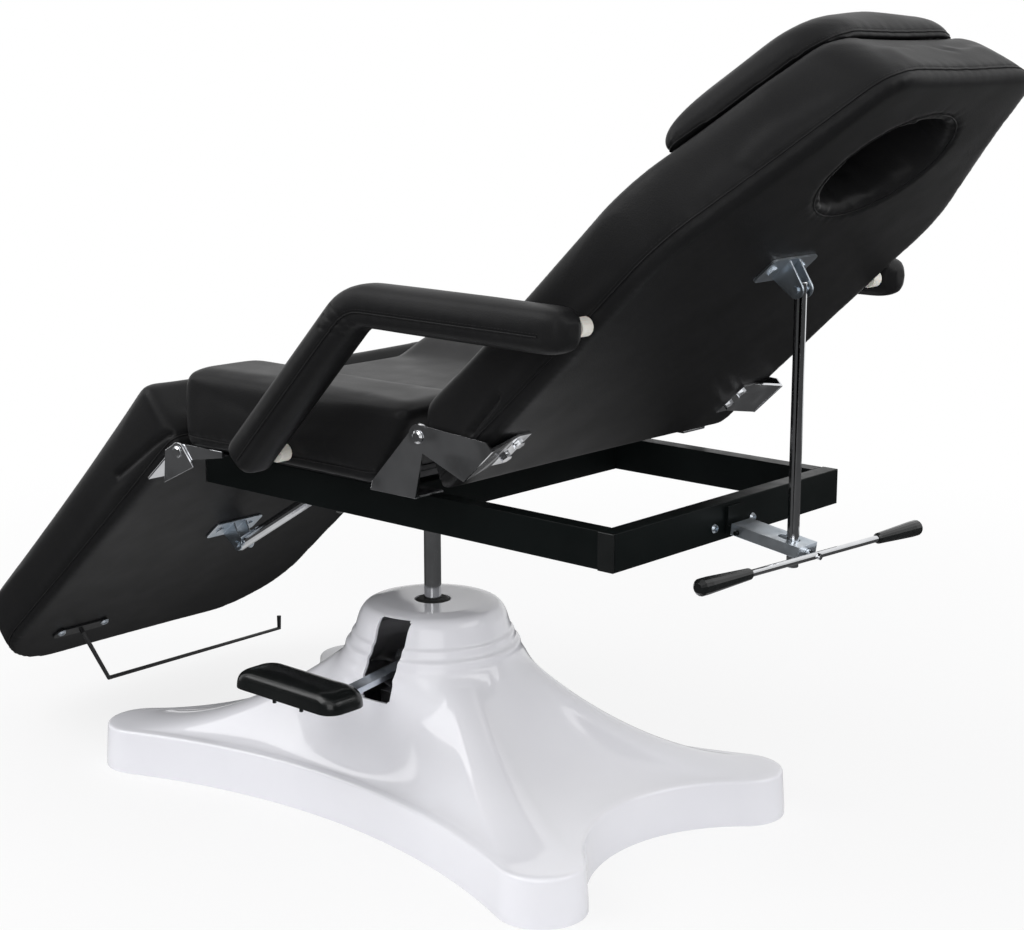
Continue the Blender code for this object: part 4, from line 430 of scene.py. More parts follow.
CHROME_TINT = (30.0, 4.0, (0.66, 0.67, 0.69), (0.76, 0.77, 0.79))
FINISHES = {
    "vinyl": make_vinyl(),
    "board": make_lining(),
    "steel": make_steel(),
    "frame_paint": noise_finish(
        "satin_black_paint", (0.004, 0.0055, 0.0055), 0.34, 0.0,
        (6.0, 5.0, (0.0032, 0.0045, 0.0045), (0.005, 0.0068, 0.0068)), (40.0, 4.0, 0.30, 0.42),
        (420.0, 2.0, 0.0002, 0.35), Specular_IOR_Level=0.12),
    "chrome": noise_finish(
        "chrome", (0.72, 0.73, 0.75), 0.10, 1.0, CHROME_TINT, (90.0, 6.0, 0.06, 0.16),
        (60.0, 2.0, 0.0001, 0.15)),
    "zinc": noise_finish(
        "zinc_plate", (0.62, 0.68, 0.74), 0.22, 1.0,
        (28.0, 4.0, (0.58, 0.65, 0.72), (0.74, 0.79, 0.84)), (60.0, 4.0, 0.28, 0.42),
        (300.0, 3.0, 0.00006, 0.2)),
    "white_plastic": noise_finish(
        "glossy_white_moulding", (0.82, 0.82, 0.86), 0.10, 0.0,
        (5.0, 4.0, (0.80, 0.80, 0.845), (0.83, 0.83, 0.87)), (45.0, 6.0, 0.07, 0.13),
        (9.0, 1.0, 0.0050, 0.30), (260.0, 2.0, 0.0001, 0.12), Specular_IOR_Level=0.5),
    "black_plastic": noise_finish(
        "glossy_black_moulding", (0.008, 0.009, 0.009), 0.20, 0.0,
        (20.0, 4.0, (0.006, 0.007, 0.007), (0.010, 0.011, 0.011)), (70.0, 5.0, 0.15, 0.26),
        (900.0, 2.0, 0.0001, 0.3), Specular_IOR_Level=0.40),
    "nylon": noise_finish(
        "pale_nylon", (0.72, 0.70, 0.64), 0.40, 0.0,
        (60.0, 4.0, (0.66, 0.64, 0.58), (0.76, 0.74, 0.68)), (150.0, 4.0, 0.34, 0.48),
        (900.0, 2.0, 0.0001, 0.3), Subsurface_Weight=0.1, Subsurface_Scale=0.002),
    "rubber": noise_finish(
        "matt_rubber", (0.020, 0.020, 0.020), 0.70, 0.0,
        (80.0, 4.0, (0.015, 0.015, 0.015), (0.028, 0.028, 0.027)), (120.0, 4.0, 0.60, 0.80),
        (900.0, 2.0, 0.0001, 0.5), Specular_IOR_Level=0.3),
    "wire": noise_finish(
        "coated_wire", (0.012, 0.012, 0.013), 0.34, 0.0,
        (60.0, 4.0, (0.009, 0.009, 0.010), (0.017, 0.017, 0.018)), (160.0, 4.0, 0.28, 0.42),
        (700.0, 2.0, 0.0001, 0.3), Specular_IOR_Level=0.4),
}
THREAD = make_thread()
# Plated sheet, a little wavy from the press
PRESSED = noise_finish("pressed_chrome", (0.72, 0.73, 0.75), 0.12, 1.0, CHROME_TINT, (90.0, 6.0, 0.08, 0.18),
                       (13.0, 1.0, 0.020, 0.6), (60.0, 2.0, 0.0001, 0.15))


# Solids that keep their shape: plating, paint and softened edges

EDGE_ROUNDING = {"frame_paint": 0.0022, "chrome": 0.0011, "zinc": 0.0006, "black_plastic": 0.0008,
                 "steel": 0.0006, "nylon": 0.0008, "rubber": 0.0006, "wire": 0.0003, "board": 0.0010}


def dress_solids():
    slots = {entry["node"]: entry["material_slot"] for entry in frame["record"]["subparts"]}
    for name, obj in frame["nodes"].items():
        slot = slots[name]
        obj.data.materials.clear()
        obj.data.materials.append(PRESSED if "hinge" in name else FINISHES[slot])
        if slot not in EDGE_ROUNDING:
            continue
        weld = obj.modifiers.new("weld", "WELD")
        weld.merge_threshold = 0.00002
        flat = obj.modifiers.new("flat_faces", "DECIMATE")
        flat.decimate_type = "DISSOLVE"
        flat.angle_limit = radians(0.4)
        edge = obj.modifiers.new("edge", "BEVEL")
        edge.width = EDGE_ROUNDING[slot]
        edge.segments = 2
        edge.limit_method = "ANGLE"
        edge.angle_limit = radians(38.0)
        edge.use_clamp_overlap = True
        edge.miter_outer = "MITER_ARC"
        shade = obj.modifiers.new("shade", "WEIGHTED_NORMAL")
        shade.keep_sharp = True


# Upholstery forms

class Panel:
    """A panel's own directions: s along it, y across it, n square to it."""

    def __init__(self, origin=(0.0, 0.0, 0.0), angle=0.0):
        turn = radians(angle)
        self.origin = np.array(origin)
        self.along = np.array((cos(turn), 0.0, sin(turn)))
        self.across = np.array((0.0, 1.0, 0.0))
        self.square = np.array((-sin(turn), 0.0, cos(turn)))

    def world(self, points):
        local = np.asarray(points, float).reshape(-1, 3)
        return self.origin + local @ np.array((self.along, self.across, self.square))

    def local(self, points):
        return (np.asarray(points, float).reshape(-1, 3) - self.origin) @ np.array(
            (self.along, self.across, self.square)).T


SEAT = Panel()
BACK = Panel(JOINTS["backrest_recline"]["pos_m"], JOINTS["backrest_recline"]["range_deg"][1])
LEG = Panel(JOINTS["legrest_tilt"]["pos_m"], JOINTS["legrest_tilt"]["range_deg"][1])


def rounded_outline(corners, radii, draw, step=0.008):
    """A polygon with rounded corners, whose straight sides are drawn in between them."""
    arcs = []
    count = len(corners)
    for i, corner in enumerate(corners):
        here = Vector(corner)
        before = (Vector(corners[i - 1]) - here).normalized()
        after = (Vector(corners[(i + 1) % count]) - here).normalized()
        half = before.angle(after) / 2.0
        centre = here + (before + after).normalized() * radii[i] / sin(half)
        first = here + before * radii[i] / tan(half) - centre
        last = here + after * radii[i] / tan(half) - centre
        start = degrees(atan2(first.y, first.x))
        sweep = (degrees(atan2(last.y, last.x)) - start + 180.0) % 360.0 - 180.0
        pieces = max(4, ceil(abs(radians(sweep)) * radii[i] / step))
        arcs.append([Vector(point) for point in arc(centre, radii[i], start, start + sweep, pieces)])
    points = []
    for i, bend in enumerate(arcs):
        points += bend
        one = bend[-1]
        two = arcs[(i + 1) % count][0]
        run = two - one
        pieces = max(1, ceil(run.length / step))
        inward = Vector((-run.y, run.x)).normalized()
        for k in range(1, pieces):
            share = k / pieces
            points.append(one + run * share + inward * draw * sin(pi * share))
    return np.array([(point.x, point.y) for point in points])


def towards_spine(outline, inset, share=0.0, reach=SPINE_REACH):
    """The outline moved towards the panel's middle by a distance, or by a share of the way."""
    low = outline.min(axis=0)
    high = outline.max(axis=0)
    room = min(high - low) * reach
    spine = np.clip(outline, low + room, high - room)
    way = spine - outline
    part = share if share else inset / np.linalg.norm(way, axis=1, keepdims=True)
    return outline + way * part


def edge_steps(thick):
    """Inset and height of each ring up a panel's side, from its underside to its top."""
    steps = []
    for inset, height in arc((LOW_EDGE, LOW_EDGE), LOW_EDGE, 270.0, 180.0, 5):
        steps.append((inset + RING_GAP, height))
    for k in range(1, 8):
        share = k / 8.0
        height = LOW_EDGE + (thick - LOW_EDGE - TOP_EDGE) * share
        steps.append((-SIDE_BULGE * sin(pi * share), height))
    for inset, height in arc((TOP_EDGE, thick - TOP_EDGE), TOP_EDGE, 180.0, 90.0, 6):
        steps.append((inset + RING_GAP, height))
    return steps


def none_lean(s, height):
    return 0.0 * s


def none_swell(s, y):
    return 1.0 + 0.0 * s


def side_line(panel, outline, underside, height, lean=none_lean, swell=none_swell):
    """A line round a panel, at a height above its underside."""
    s, y = outline[:, 0], outline[:, 1]
    return panel.world(np.column_stack((s + lean(s, height), y, underside + height * swell(s, y))))


def cushion(name, panel, outline, underside, thick, crown, lean=none_lean, swell=none_swell):
    """A pad's form: flat below, bulged at the sides and crowned on top."""
    levels = [(towards_spine(outline, 0.0, share), 0.0) for share in UNDER_SHARES]
    levels += [(towards_spine(outline, inset), height) for inset, height in edge_steps(thick)]
    for share in CROWN_SHARES:
        height = thick + crown * (1.0 - (1.0 - share) ** CROWN_POWER)
        levels.append((towards_spine(outline, 0.0, share), height))
    rings = [side_line(panel, ring, underside, height, lean, swell) for ring, height in levels]
    return mesh_object(name, loft(rings))


def remeshed(obj, voxel):
    skin = obj.modifiers.new("skin", "REMESH")
    skin.mode = "VOXEL"
    skin.voxel_size = voxel
    return bake(obj)


def positions(mesh, kind="co"):
    flat = np.empty(len(mesh.vertices) * 3, np.float32)
    mesh.vertices.foreach_get(kind, flat)
    return flat.reshape(-1, 3).astype(float)


def set_positions(mesh, points):
    mesh.vertices.foreach_set("co", points.astype(np.float32).ravel())
    mesh.update()


def stuff(obj, held, pressure, cap):
    """Blows the cover up a little over its filling; held marks the points that stay put."""
    before = positions(obj.data)
    group = obj.vertex_groups.new(name="held")
    group.add([int(i) for i in np.nonzero(held(before))[0]], 1.0, "REPLACE")
    cloth = obj.modifiers.new("cover", "CLOTH")
    settings = cloth.settings
    settings.quality = 5
    settings.mass = 0.3
    settings.tension_stiffness = settings.compression_stiffness = 25.0
    settings.shear_stiffness = 12.0
    settings.bending_stiffness = 1.2
    settings.use_pressure = True
    settings.uniform_pressure_force = pressure
    settings.vertex_group_mass = "held"
    settings.effector_weights.gravity = 0.0
    cloth.collision_settings.use_collision = False
    scene = bpy.context.scene
    for step in range(CLOTH_STEPS):
        scene.frame_set(step + 1)
    graph = bpy.context.evaluated_depsgraph_get()
    after = positions(obj.evaluated_get(graph).data)
    obj.modifiers.clear()
    obj.vertex_groups.clear()
    scene.frame_set(1)
    ways = positions(obj.data, "normal")
    out = np.sum((after - before) * ways, axis=1, keepdims=True)
    set_positions(obj.data, before + ways * np.clip(out, 0.0, cap))


def smoothed(obj, rounds):
    soften = obj.modifiers.new("soften", "SMOOTH")
    soften.factor = 0.5
    soften.iterations = rounds
    finer = obj.modifiers.new("finer", "SUBSURF")
    finer.levels = finer.render_levels = 1
    bake(obj)
    obj.data.shade_smooth()


# Sewing

def run_lengths(line):
    """How far along a line each of its points lies."""
    return np.concatenate(([0.0], np.cumsum(np.linalg.norm(np.diff(line, axis=0), axis=1))))


def respaced(points, spacing, closed):
    """Points an even distance apart along a line."""
    line = np.asarray(points, float)
    if closed:
        line = np.vstack((line, line[:1]))
    runs = run_lengths(line)
    count = max(4, int(round(runs[-1] / spacing)))
    stops = np.linspace(0.0, runs[-1], count + 1)
    if closed:
        stops = stops[:-1]
    return np.column_stack([np.interp(stops, runs, line[:, axis]) for axis in range(3)])


def onto(obj, points):
    """The nearest points on a piece's surface, and the directions out of it there."""
    surface = BVHTree.FromPolygons([v.co for v in obj.data.vertices], [p.vertices for p in obj.data.polygons])
    places, ways = [], []
    for point in points:
        place, way, _, _ = surface.find_nearest(Vector(point))
        places.append(place)
        ways.append(way)
    return np.array(places), np.array(ways)


def draw_in(obj, points, depth=GROOVE_DEPTH, width=GROOVE_WIDTH, pucker=PUCKER):
    """Pulls the cover in along a sewn line, with small puckers beside it."""
    tree = KDTree(len(points))
    for index, point in enumerate(points):
        tree.insert(point, index)
    tree.balance()
    spacing = np.linalg.norm(points[1] - points[0])
    places = positions(obj.data)
    normals = positions(obj.data, "normal")
    low = points.min(axis=0) - GROOVE_REACH
    high = points.max(axis=0) + GROOVE_REACH
    near = np.nonzero(((places > low) & (places < high)).all(axis=1))[0]
    for i in near:
        _, index, gap = tree.find(places[i])
        if gap > GROOVE_REACH:
            continue
        sink = depth * np.exp(-(gap / width) ** 2)
        turn = 2.0 * pi * index * spacing / PUCKER_PITCH
        ripple = pucker * cos(turn) * cos(turn * 0.271) * np.exp(-(gap / PUCKER_REACH) ** 2)
        places[i] -= normals[i] * (sink + ripple)
    set_positions(obj.data, places)


def crease(obj, panel, lines, depth=FOLD_DEPTH, width=FOLD_WIDTH):
    """Folds that the cover falls into, along lines given in the panel's own directions."""
    for line in lines:
        places, _ = onto(obj, respaced(panel.world(line), SEAM_STEP, False))
        draw_in(obj, places, depth, width, 0.0)


def node_tree(name, sizes):
    """An empty Geometry Nodes tree with named sizes and a finish."""
    tree = bpy.data.node_groups.new(name, "GeometryNodeTree")
    tree.interface.new_socket("Geometry", in_out="INPUT", socket_type="NodeSocketGeometry")
    tree.interface.new_socket("Geometry", in_out="OUTPUT", socket_type="NodeSocketGeometry")
    for label, value in sizes.items():
        socket = tree.interface.new_socket(label, in_out="INPUT", socket_type="NodeSocketFloat")
        socket.default_value = value
    tree.interface.new_socket("Finish", in_out="INPUT", socket_type="NodeSocketMaterial")
    return tree


def end_tree(tree, geometry, finish):
    real = grow(tree, "GeometryNodeRealizeInstances", Geometry=geometry)
    painted = grow(tree, "GeometryNodeSetMaterial", Geometry=real.outputs[0], Material=finish)
    out = tree.nodes.new("NodeGroupOutput")
    tree.links.new(painted.outputs[0], out.inputs[0])


def make_stitch_tree():
    """Short threads laid end to end along a line."""
    tree = node_tree("thread_along_line", {"Pitch": STITCH_PITCH, "Length": STITCH_LENGTH,
                                           "Thickness": STITCH_THICK})
    given = tree.nodes.new("NodeGroupInput")
    line = grow(tree, "GeometryNodeMeshToCurve", Mesh=given.outputs["Geometry"])
    stops = grow(tree, "GeometryNodeCurveToPoints", {"mode": "LENGTH"}, Curve=line.outputs[0],
                 Length=given.outputs["Pitch"])
    turn = grow(tree, "FunctionNodeAlignRotationToVector", {"axis": "Z"}, Vector=stops.outputs["Tangent"])
    size = grow(tree, "ShaderNodeCombineXYZ", X=given.outputs["Thickness"], Y=given.outputs["Thickness"],
                Z=given.outputs["Length"])
    thread = grow(tree, "GeometryNodeMeshUVSphere", Segments=6, Rings=5, Radius=0.5)
    laid = grow(tree, "GeometryNodeInstanceOnPoints", Points=stops.outputs["Points"],
                Instance=thread.outputs["Mesh"], Rotation=turn.outputs["Rotation"], Scale=size.outputs[0])
    smooth = grow(tree, "GeometryNodeSetShadeSmooth", Geometry=laid.outputs[0])
    end_tree(tree, smooth.outputs[0], given.outputs["Finish"])
    return tree


def make_screw_tree():
    """A pan-head screw with a cross recess at each point, turned along the point's own direction."""
    tree = node_tree("screw_heads", {"Radius": REAR_SCREW_RADIUS, "Height": SCREW_HEIGHT})
    given = tree.nodes.new("NodeGroupInput")
    radius, height = given.outputs["Radius"], given.outputs["Height"]
    head = grow(tree, "GeometryNodeMeshCone", Vertices=20, Radius_Bottom=radius, Depth=height,
                Radius_Top=combined(tree, "MULTIPLY", radius, HEAD_TAPER))
    lift = grow(tree, "ShaderNodeCombineXYZ", Z=height)
    cut = head.outputs["Mesh"]
    for wide, narrow in ((RECESS_LENGTH, RECESS_WIDTH), (RECESS_WIDTH, RECESS_LENGTH)):
        size = grow(tree, "ShaderNodeVectorMath", {"operation": "SCALE"}, Scale=radius)
        size.inputs[0].default_value = (wide, narrow, RECESS_DEPTH)
        bar = grow(tree, "GeometryNodeMeshCube", Size=size.outputs[0])
        raised = grow(tree, "GeometryNodeTransform", Geometry=bar.outputs["Mesh"],
                      Translation=lift.outputs[0])
        cross = grow(tree, "GeometryNodeMeshBoolean", {"operation": "DIFFERENCE"}, Mesh_1=cut,
                     Mesh_2=raised.outputs[0])
        cut = cross.outputs["Mesh"]
    way = grow(tree, "GeometryNodeInputNamedAttribute", {"data_type": "FLOAT_VECTOR"}, Name="way")
    turn = grow(tree, "FunctionNodeAlignRotationToVector", {"axis": "Z"}, Vector=way.outputs["Attribute"])
    points = grow(tree, "GeometryNodeMeshToPoints", Mesh=given.outputs["Geometry"])
    placed = grow(tree, "GeometryNodeInstanceOnPoints", Points=points.outputs[0], Instance=cut,
                  Rotation=turn.outputs["Rotation"])
    end_tree(tree, placed.outputs[0], given.outputs["Finish"])
    return tree


STITCHES = make_stitch_tree()
SCREWS = make_screw_tree()


def run_tree(obj, tree, finish, **sizes):
    """Puts a tree on a piece, sets its sizes and keeps the result as a plain mesh."""
    grown = obj.modifiers.new(tree.name, "NODES")
    grown.node_group = tree
    for item in tree.interface.items_tree:
        if item.item_type == "SOCKET" and item.in_out == "INPUT":
            if item.name in sizes:
                grown[item.identifier] = sizes[item.name]
            elif item.name == "Finish":
                grown[item.identifier] = finish
    return bake(obj)


def line_mesh(points, closed):
    mesh = bpy.data.meshes.new("line")
    count = len(points)
    edges = [(i, (i + 1) % count) for i in range(count if closed else count - 1)]
    mesh.from_pydata([tuple(point) for point in points], edges, [])
    return mesh


def stitch_line(name, points, closed, body):
    obj = mesh_object(name, line_mesh(points, closed))
    run_tree(obj, STITCHES, THREAD, Pitch=STITCH_PITCH, Length=STITCH_LENGTH, Thickness=STITCH_THICK)
    finish_piece(obj, body, "vinyl", material=THREAD)


def sew(obj, seams, body):
    """Draws in each sewn line, then lays a welt in it and a row of stitches beside it."""
    lines = []
    for points, closed in seams:
        places, _ = onto(obj, respaced(points, SEAM_STEP, closed))
        lines.append((places, closed))
        draw_in(obj, places)
    for index, (places, closed) in enumerate(lines):
        laid, ways = onto(obj, places)
        label = "%s_seam_%d" % (obj.name, index)
        welt = mesh_object(label, tube(laid + ways * WELT_RADIUS * WELT_SINK, WELT_RADIUS, closed))
        finish_piece(welt, body, "vinyl")
        run = np.gradient(laid, axis=0)
        run /= np.linalg.norm(run, axis=1, keepdims=True)
        beside, out = onto(obj, laid + np.cross(ways, run) * STITCH_BESIDE)
        stitch_line(label + "_stitches", beside + out * STITCH_THICK * STITCH_SINK, closed, body)


def drive_screws(name, node, places, way, body, radius):
    """Pan-head screws on a solid, at the surface points nearest to the given places."""
    laid, _ = onto(frame["nodes"][node], places)
    mesh = bpy.data.meshes.new(name)
    mesh.from_pydata([tuple(place + np.array(way) * SCREW_HEIGHT / 4.0) for place in laid], [], [])
    ways = mesh.attributes.new("way", "FLOAT_VECTOR", "POINT")
    ways.data.foreach_set("vector", np.tile(np.array(way, np.float32), len(laid)))
    obj = mesh_object(name, mesh)
    run_tree(obj, SCREWS, FINISHES["zinc"], Radius=radius, Height=SCREW_HEIGHT)
    finish_piece(obj, body, "zinc")


def build_screws():
    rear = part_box("rear_bar")[1].x
    holes = [(rear, y, REAR_SCREW_Z) for y in (-REAR_SCREW_Y, REAR_SCREW_Y)]
    drive_screws("rear_bar_screws", "rear_bar", holes, (1.0, 0.0, 0.0), "frame", REAR_SCREW_RADIUS)
    holes = [(-ROLL_PLATE_S, ROLL_PLATE_Y + reach, LEG_UNDERSIDE - ROLL_PLATE_THICK)
             for reach in (-ROLL_SCREW_REACH, ROLL_SCREW_REACH)]
    drive_screws("roll_holder_screws", "roll_holder", LEG.world(holes), -LEG.square, "legrest",
                 ROLL_SCREW_RADIUS)


# The cushions

def seat_shape():
    corners = [(SEAT_FRONT, -PAD_HALF_WIDTH), (SEAT_REAR, -PAD_HALF_WIDTH),
               (SEAT_REAR, PAD_HALF_WIDTH), (SEAT_FRONT, PAD_HALF_WIDTH)]

    def lean(s, height):
        reach = LEAN_REACH * SEAT_REAR_LEAN
        share = np.clip((s - SEAT_REAR + reach) / reach, 0.0, 1.0)
        return -SEAT_REAR_LEAN * max(0.0, 1.0 - height / SEAT_THICK) * share

    def swell(s, y):
        share = np.clip((SEAT_DISH_OUTER - abs(y)) / (SEAT_DISH_OUTER - SEAT_DISH_INNER), 0.0, 1.0)
        return 1.0 - SEAT_DISH / SEAT_THICK * share * share * (3.0 - 2.0 * share)

    return rounded_outline(corners, [CORNER_RADIUS] * 4, SIDE_DRAW), lean, swell


def back_shape():
    half, head = PAD_HALF_WIDTH, BACK_HEAD_HALF_WIDTH
    corners = [(BACK_FOOT, -half), (BACK_SHOULDER, -half), (BACK_HEAD, -head),
               (BACK_HEAD, head), (BACK_SHOULDER, half), (BACK_FOOT, half)]
    radii = [CORNER_RADIUS, BACK_SHOULDER_RADIUS, BACK_HEAD_RADIUS]
    radii += radii[::-1]

    def lean(s, height):
        low = np.clip(1.0 - (s - BACK_FOOT) / (LEAN_REACH * BACK_FOOT_LEAN), 0.0, 1.0)
        high = np.clip(1.0 - (BACK_HEAD - s) / (HEAD_LEAN_REACH * BACK_HEAD_LEAN), 0.0, 1.0)
        return (BACK_FOOT_LEAN * low - BACK_HEAD_LEAN * high) * min(1.0, height / BACK_THICK)

    return rounded_outline(corners, radii, SIDE_DRAW), lean


def leg_shape():
    half = PAD_HALF_WIDTH
    corners = [(-LEG_FOOT, -half), (-LEG_KNEE, -half), (-LEG_KNEE, half), (-LEG_FOOT, half)]
    radii = [LEG_FOOT_CORNER, CORNER_RADIUS, CORNER_RADIUS, LEG_FOOT_CORNER]

    def swell(s, y):
        foot = np.clip((-s - LEG_KNEE) / (LEG_FOOT - LEG_KNEE), 0.0, 1.0)
        return 1.0 + (LEG_FOOT_THICK / LEG_KNEE_THICK - 1.0) * foot

    return rounded_outline(corners, radii, SIDE_DRAW), swell


def upholster(obj, panel, underside, body, seams, nodes, voxel, cap, folds=()):
    """Remesh, stuffing, smoothing, sewing and finish of one cushion."""
    remeshed(obj, voxel)

    def held(points):
        return panel.local(points)[:, 2] < underside + HELD_BAND

    stuff(obj, held, PAD_PRESSURE, cap)
    smoothed(obj, PAD_ROUNDS)
    crease(obj, panel, folds)
    sew(obj, [(seam, True) for seam in seams], body)
    finish_piece(obj, body, "vinyl", *nodes)


def mirrored(line):
    """A fold on the left side, and the same one on the right."""
    return [line, [(s, -y, n) for s, y, n in line]]


def build_seat():
    outline, lean, swell = seat_shape()
    obj = cushion("seat_pad", SEAT, outline, SEAT_UNDERSIDE + SEAT_LIFT, SEAT_THICK - COVER_ROOM, 0.0, lean,
                  swell)
    seam = side_line(SEAT, outline, SEAT_UNDERSIDE, LOW_SEAM, lean, swell)
    upholster(obj, SEAT, SEAT_UNDERSIDE, "frame", [seam], ["seat_cushion"], PANEL_VOXEL, SEAT_CAP)


def face_oval(rim, n):
    """The face hole's outline, or one outside it by half the rim, at a level of the backrest."""
    turns = np.linspace(0.0, 2.0 * pi, FACE_HOLE_POINTS, endpoint=False)
    ring = np.column_stack((FACE_HOLE_S + (FACE_HOLE_LENGTH + rim) / 2.0 * np.cos(turns),
                            (FACE_HOLE_WIDTH + rim) / 2.0 * np.sin(turns)))
    return BACK.world(at_height(ring, n))


def build_backrest():
    outline, lean = back_shape()
    obj = cushion("backrest_pad", BACK, outline, BACK_UNDERSIDE, BACK_THICK - COVER_ROOM, CROWN, lean)
    cut_out(obj, loft([face_oval(0.0, n) for n in (-FACE_HOLE_CUT, FACE_HOLE_CUT)]))
    seam = side_line(BACK, outline, BACK_UNDERSIDE, LOW_SEAM, lean)
    upholster(obj, BACK, BACK_UNDERSIDE, "backrest", [seam, face_oval(FACE_RIM, BACK_UNDERSIDE)],
              ["backrest_cushion", "backrest_board"], PANEL_VOXEL, PANEL_CAP, mirrored(BACK_FOLD))


def build_legrest():
    outline, swell = leg_shape()
    obj = cushion("legrest_pad", LEG, outline, LEG_UNDERSIDE, LEG_KNEE_THICK - COVER_ROOM, CROWN / 2.0,
                  swell=swell)
    seam = side_line(LEG, outline, LEG_UNDERSIDE, LOW_SEAM, swell=swell)
    upholster(obj, LEG, LEG_UNDERSIDE, "legrest", [seam], ["legrest_cushion", "legrest_board"], PANEL_VOXEL,
              PANEL_CAP, mirrored(LEG_FOLD))


def build_pillow():
    """A stuffed pillow, highest in its middle, that falls off to the sides and towards the head."""
    low, high = PILLOW_LOW_HALF_WIDTH, PILLOW_HIGH_HALF_WIDTH
    corners = [(PILLOW_LOW, -low), (PILLOW_HIGH, -high), (PILLOW_HIGH, high), (PILLOW_LOW, low),
               (PILLOW_LOW - PILLOW_LOW_BOW, 0.0)]
    radii = [PILLOW_LOW_RADIUS, PILLOW_HIGH_RADIUS, PILLOW_HIGH_RADIUS, PILLOW_LOW_RADIUS, PILLOW_BOW_RADIUS]
    outline = rounded_outline(corners, radii, SIDE_DRAW / 2.0)
    underside = BACK_UNDERSIDE + BACK_THICK + PILLOW_GAP
    levels = [(share, PILLOW_HOLLOW) for share in UNDER_SHARES]
    for k in range(PILLOW_RINGS + 1):
        turn = radians(90.0 * k / PILLOW_RINGS)
        inset = PILLOW_CLOSING * (1.0 - max(0.0, cos(turn)) ** PILLOW_BOXINESS)
        levels.append((inset, PILLOW_HEIGHT * sin(turn) ** PILLOW_BOXINESS))
    rings = []
    for share, height in levels:
        ring = towards_spine(outline, 0.0, share, PILLOW_SPINE_REACH)
        way = np.clip((ring[:, 0] - PILLOW_LOW) / (PILLOW_HIGH - PILLOW_LOW), 0.0, 1.0)
        sideways = np.hypot(ring[:, 1], PILLOW_RIDGE_ROUND) / PILLOW_LOW_HALF_WIDTH
        swell = (1.0 - PILLOW_HEAD_FALL * way) * (1.0 - PILLOW_SIDE_FALL * sideways)
        rings.append(BACK.world(np.column_stack((ring, underside + height * swell))))
    obj = mesh_object("head_cushion", loft(rings))
    local = BACK.local(positions(obj.data))
    droop = np.clip((local[:, 0] - PILLOW_DROOP_START) / PILLOW_DROOP_LENGTH, 0.0, 1.0)
    local[:, 2] -= PILLOW_DROOP * droop ** 2
    set_positions(obj.data, BACK.world(local))
    seam = side_line(BACK, outline, underside, PILLOW_SEAM)
    upholster(obj, BACK, underside, "pillow", [seam], ["head_pillow"], PILLOW_VOXEL, PILLOW_CAP)


def arm_line():
    """The armrest's middle line in the XZ plane, from its foot round the elbow to its rear end."""
    start, elbow, end = (Vector(point) for point in (ARM_FOOT, ARM_ELBOW, ARM_END))
    post = (elbow - start).normalized()
    rest = (end - elbow).normalized()
    half = (pi - post.angle(rest)) / 2.0
    reach = ARM_ELBOW_RADIUS / tan(half)
    centre = elbow + (rest - post).normalized() * ARM_ELBOW_RADIUS / sin(half)
    first = elbow - post * reach - centre
    begin = degrees(atan2(first.y, first.x))
    sweep = -degrees(post.angle(rest))
    bend = arc(centre, ARM_ELBOW_RADIUS, begin, begin + sweep, 12)
    line = [(start.x, 0.0, start.y), *[(x, 0.0, z) for x, z in bend], (end.x, 0.0, end.y)]
    return respaced(line, ARM_STEP, False)


def arm_frames():
    """Middle points of the armrest with the direction square to the line at each."""
    line = arm_line()
    ways = np.gradient(line, axis=0)
    ways /= np.linalg.norm(ways, axis=1, keepdims=True)
    ups = np.column_stack((-ways[:, 2], ways[:, 1], ways[:, 0]))
    return line, ups


def end_size(gap, depth):
    """Section size near a rounded end, from the distance to that end."""
    share = min(1.0, gap / depth)
    return 0.45 + 0.55 * (1.0 - (1.0 - share) ** 2.4) ** 0.5


def build_armrest(name, side):
    line, ups = arm_frames()
    runs = run_lengths(line)
    turns = np.linspace(0.0, 2.0 * pi, ARM_SIDES, endpoint=False)
    squareness = (np.abs(np.cos(turns)) ** ARM_SQUARENESS + np.abs(np.sin(turns)) ** ARM_SQUARENESS) ** (
        -1.0 / ARM_SQUARENESS)
    across = (ARM_WIDTH / 2.0 - ARM_COVER_ROOM) * np.cos(turns) * squareness
    height = (ARM_HEIGHT / 2.0 - ARM_COVER_ROOM) * np.sin(turns) * squareness
    rings = []
    for place, up, run in zip(line, ups, runs):
        size = min(end_size(run, ARM_FOOT_ROUND), end_size(runs[-1] - run, ARM_END_ROUND))
        ring = place + np.outer(height * size, up)
        ring[:, 1] += side * ARM_CENTRE_Y + across * size
        rings.append(ring)
    obj = mesh_object("armrest_cushion_" + name, loft(rings))
    remeshed(obj, ARM_VOXEL)
    stuff(obj, lambda points: np.zeros(len(points), bool), ARM_PRESSURE, ARM_CAP)
    smoothed(obj, ARM_ROUNDS)
    seams = []
    for face in (-1, 1):
        y = side * ARM_CENTRE_Y + face * ARM_WIDTH / 2.0
        seam = line - ups * ARM_SEAM_DROP
        seam[:, 1] = y
        # The inner seam ends halfway, clear of the bolt that slides along the armrest
        seams.append((seam[2:-4] if face == side else seam[2:len(seam) // 2], False))
        folds = [[(x, y, z) for x, z in fold] for fold in ELBOW_FOLDS]
        crease(obj, SEAT, folds, ELBOW_FOLD_DEPTH, ELBOW_FOLD_WIDTH)
    body = name + "_armrest"
    sew(obj, seams, body)
    finish_piece(obj, body, "vinyl", "armrest_pad_" + name)


# Base cover

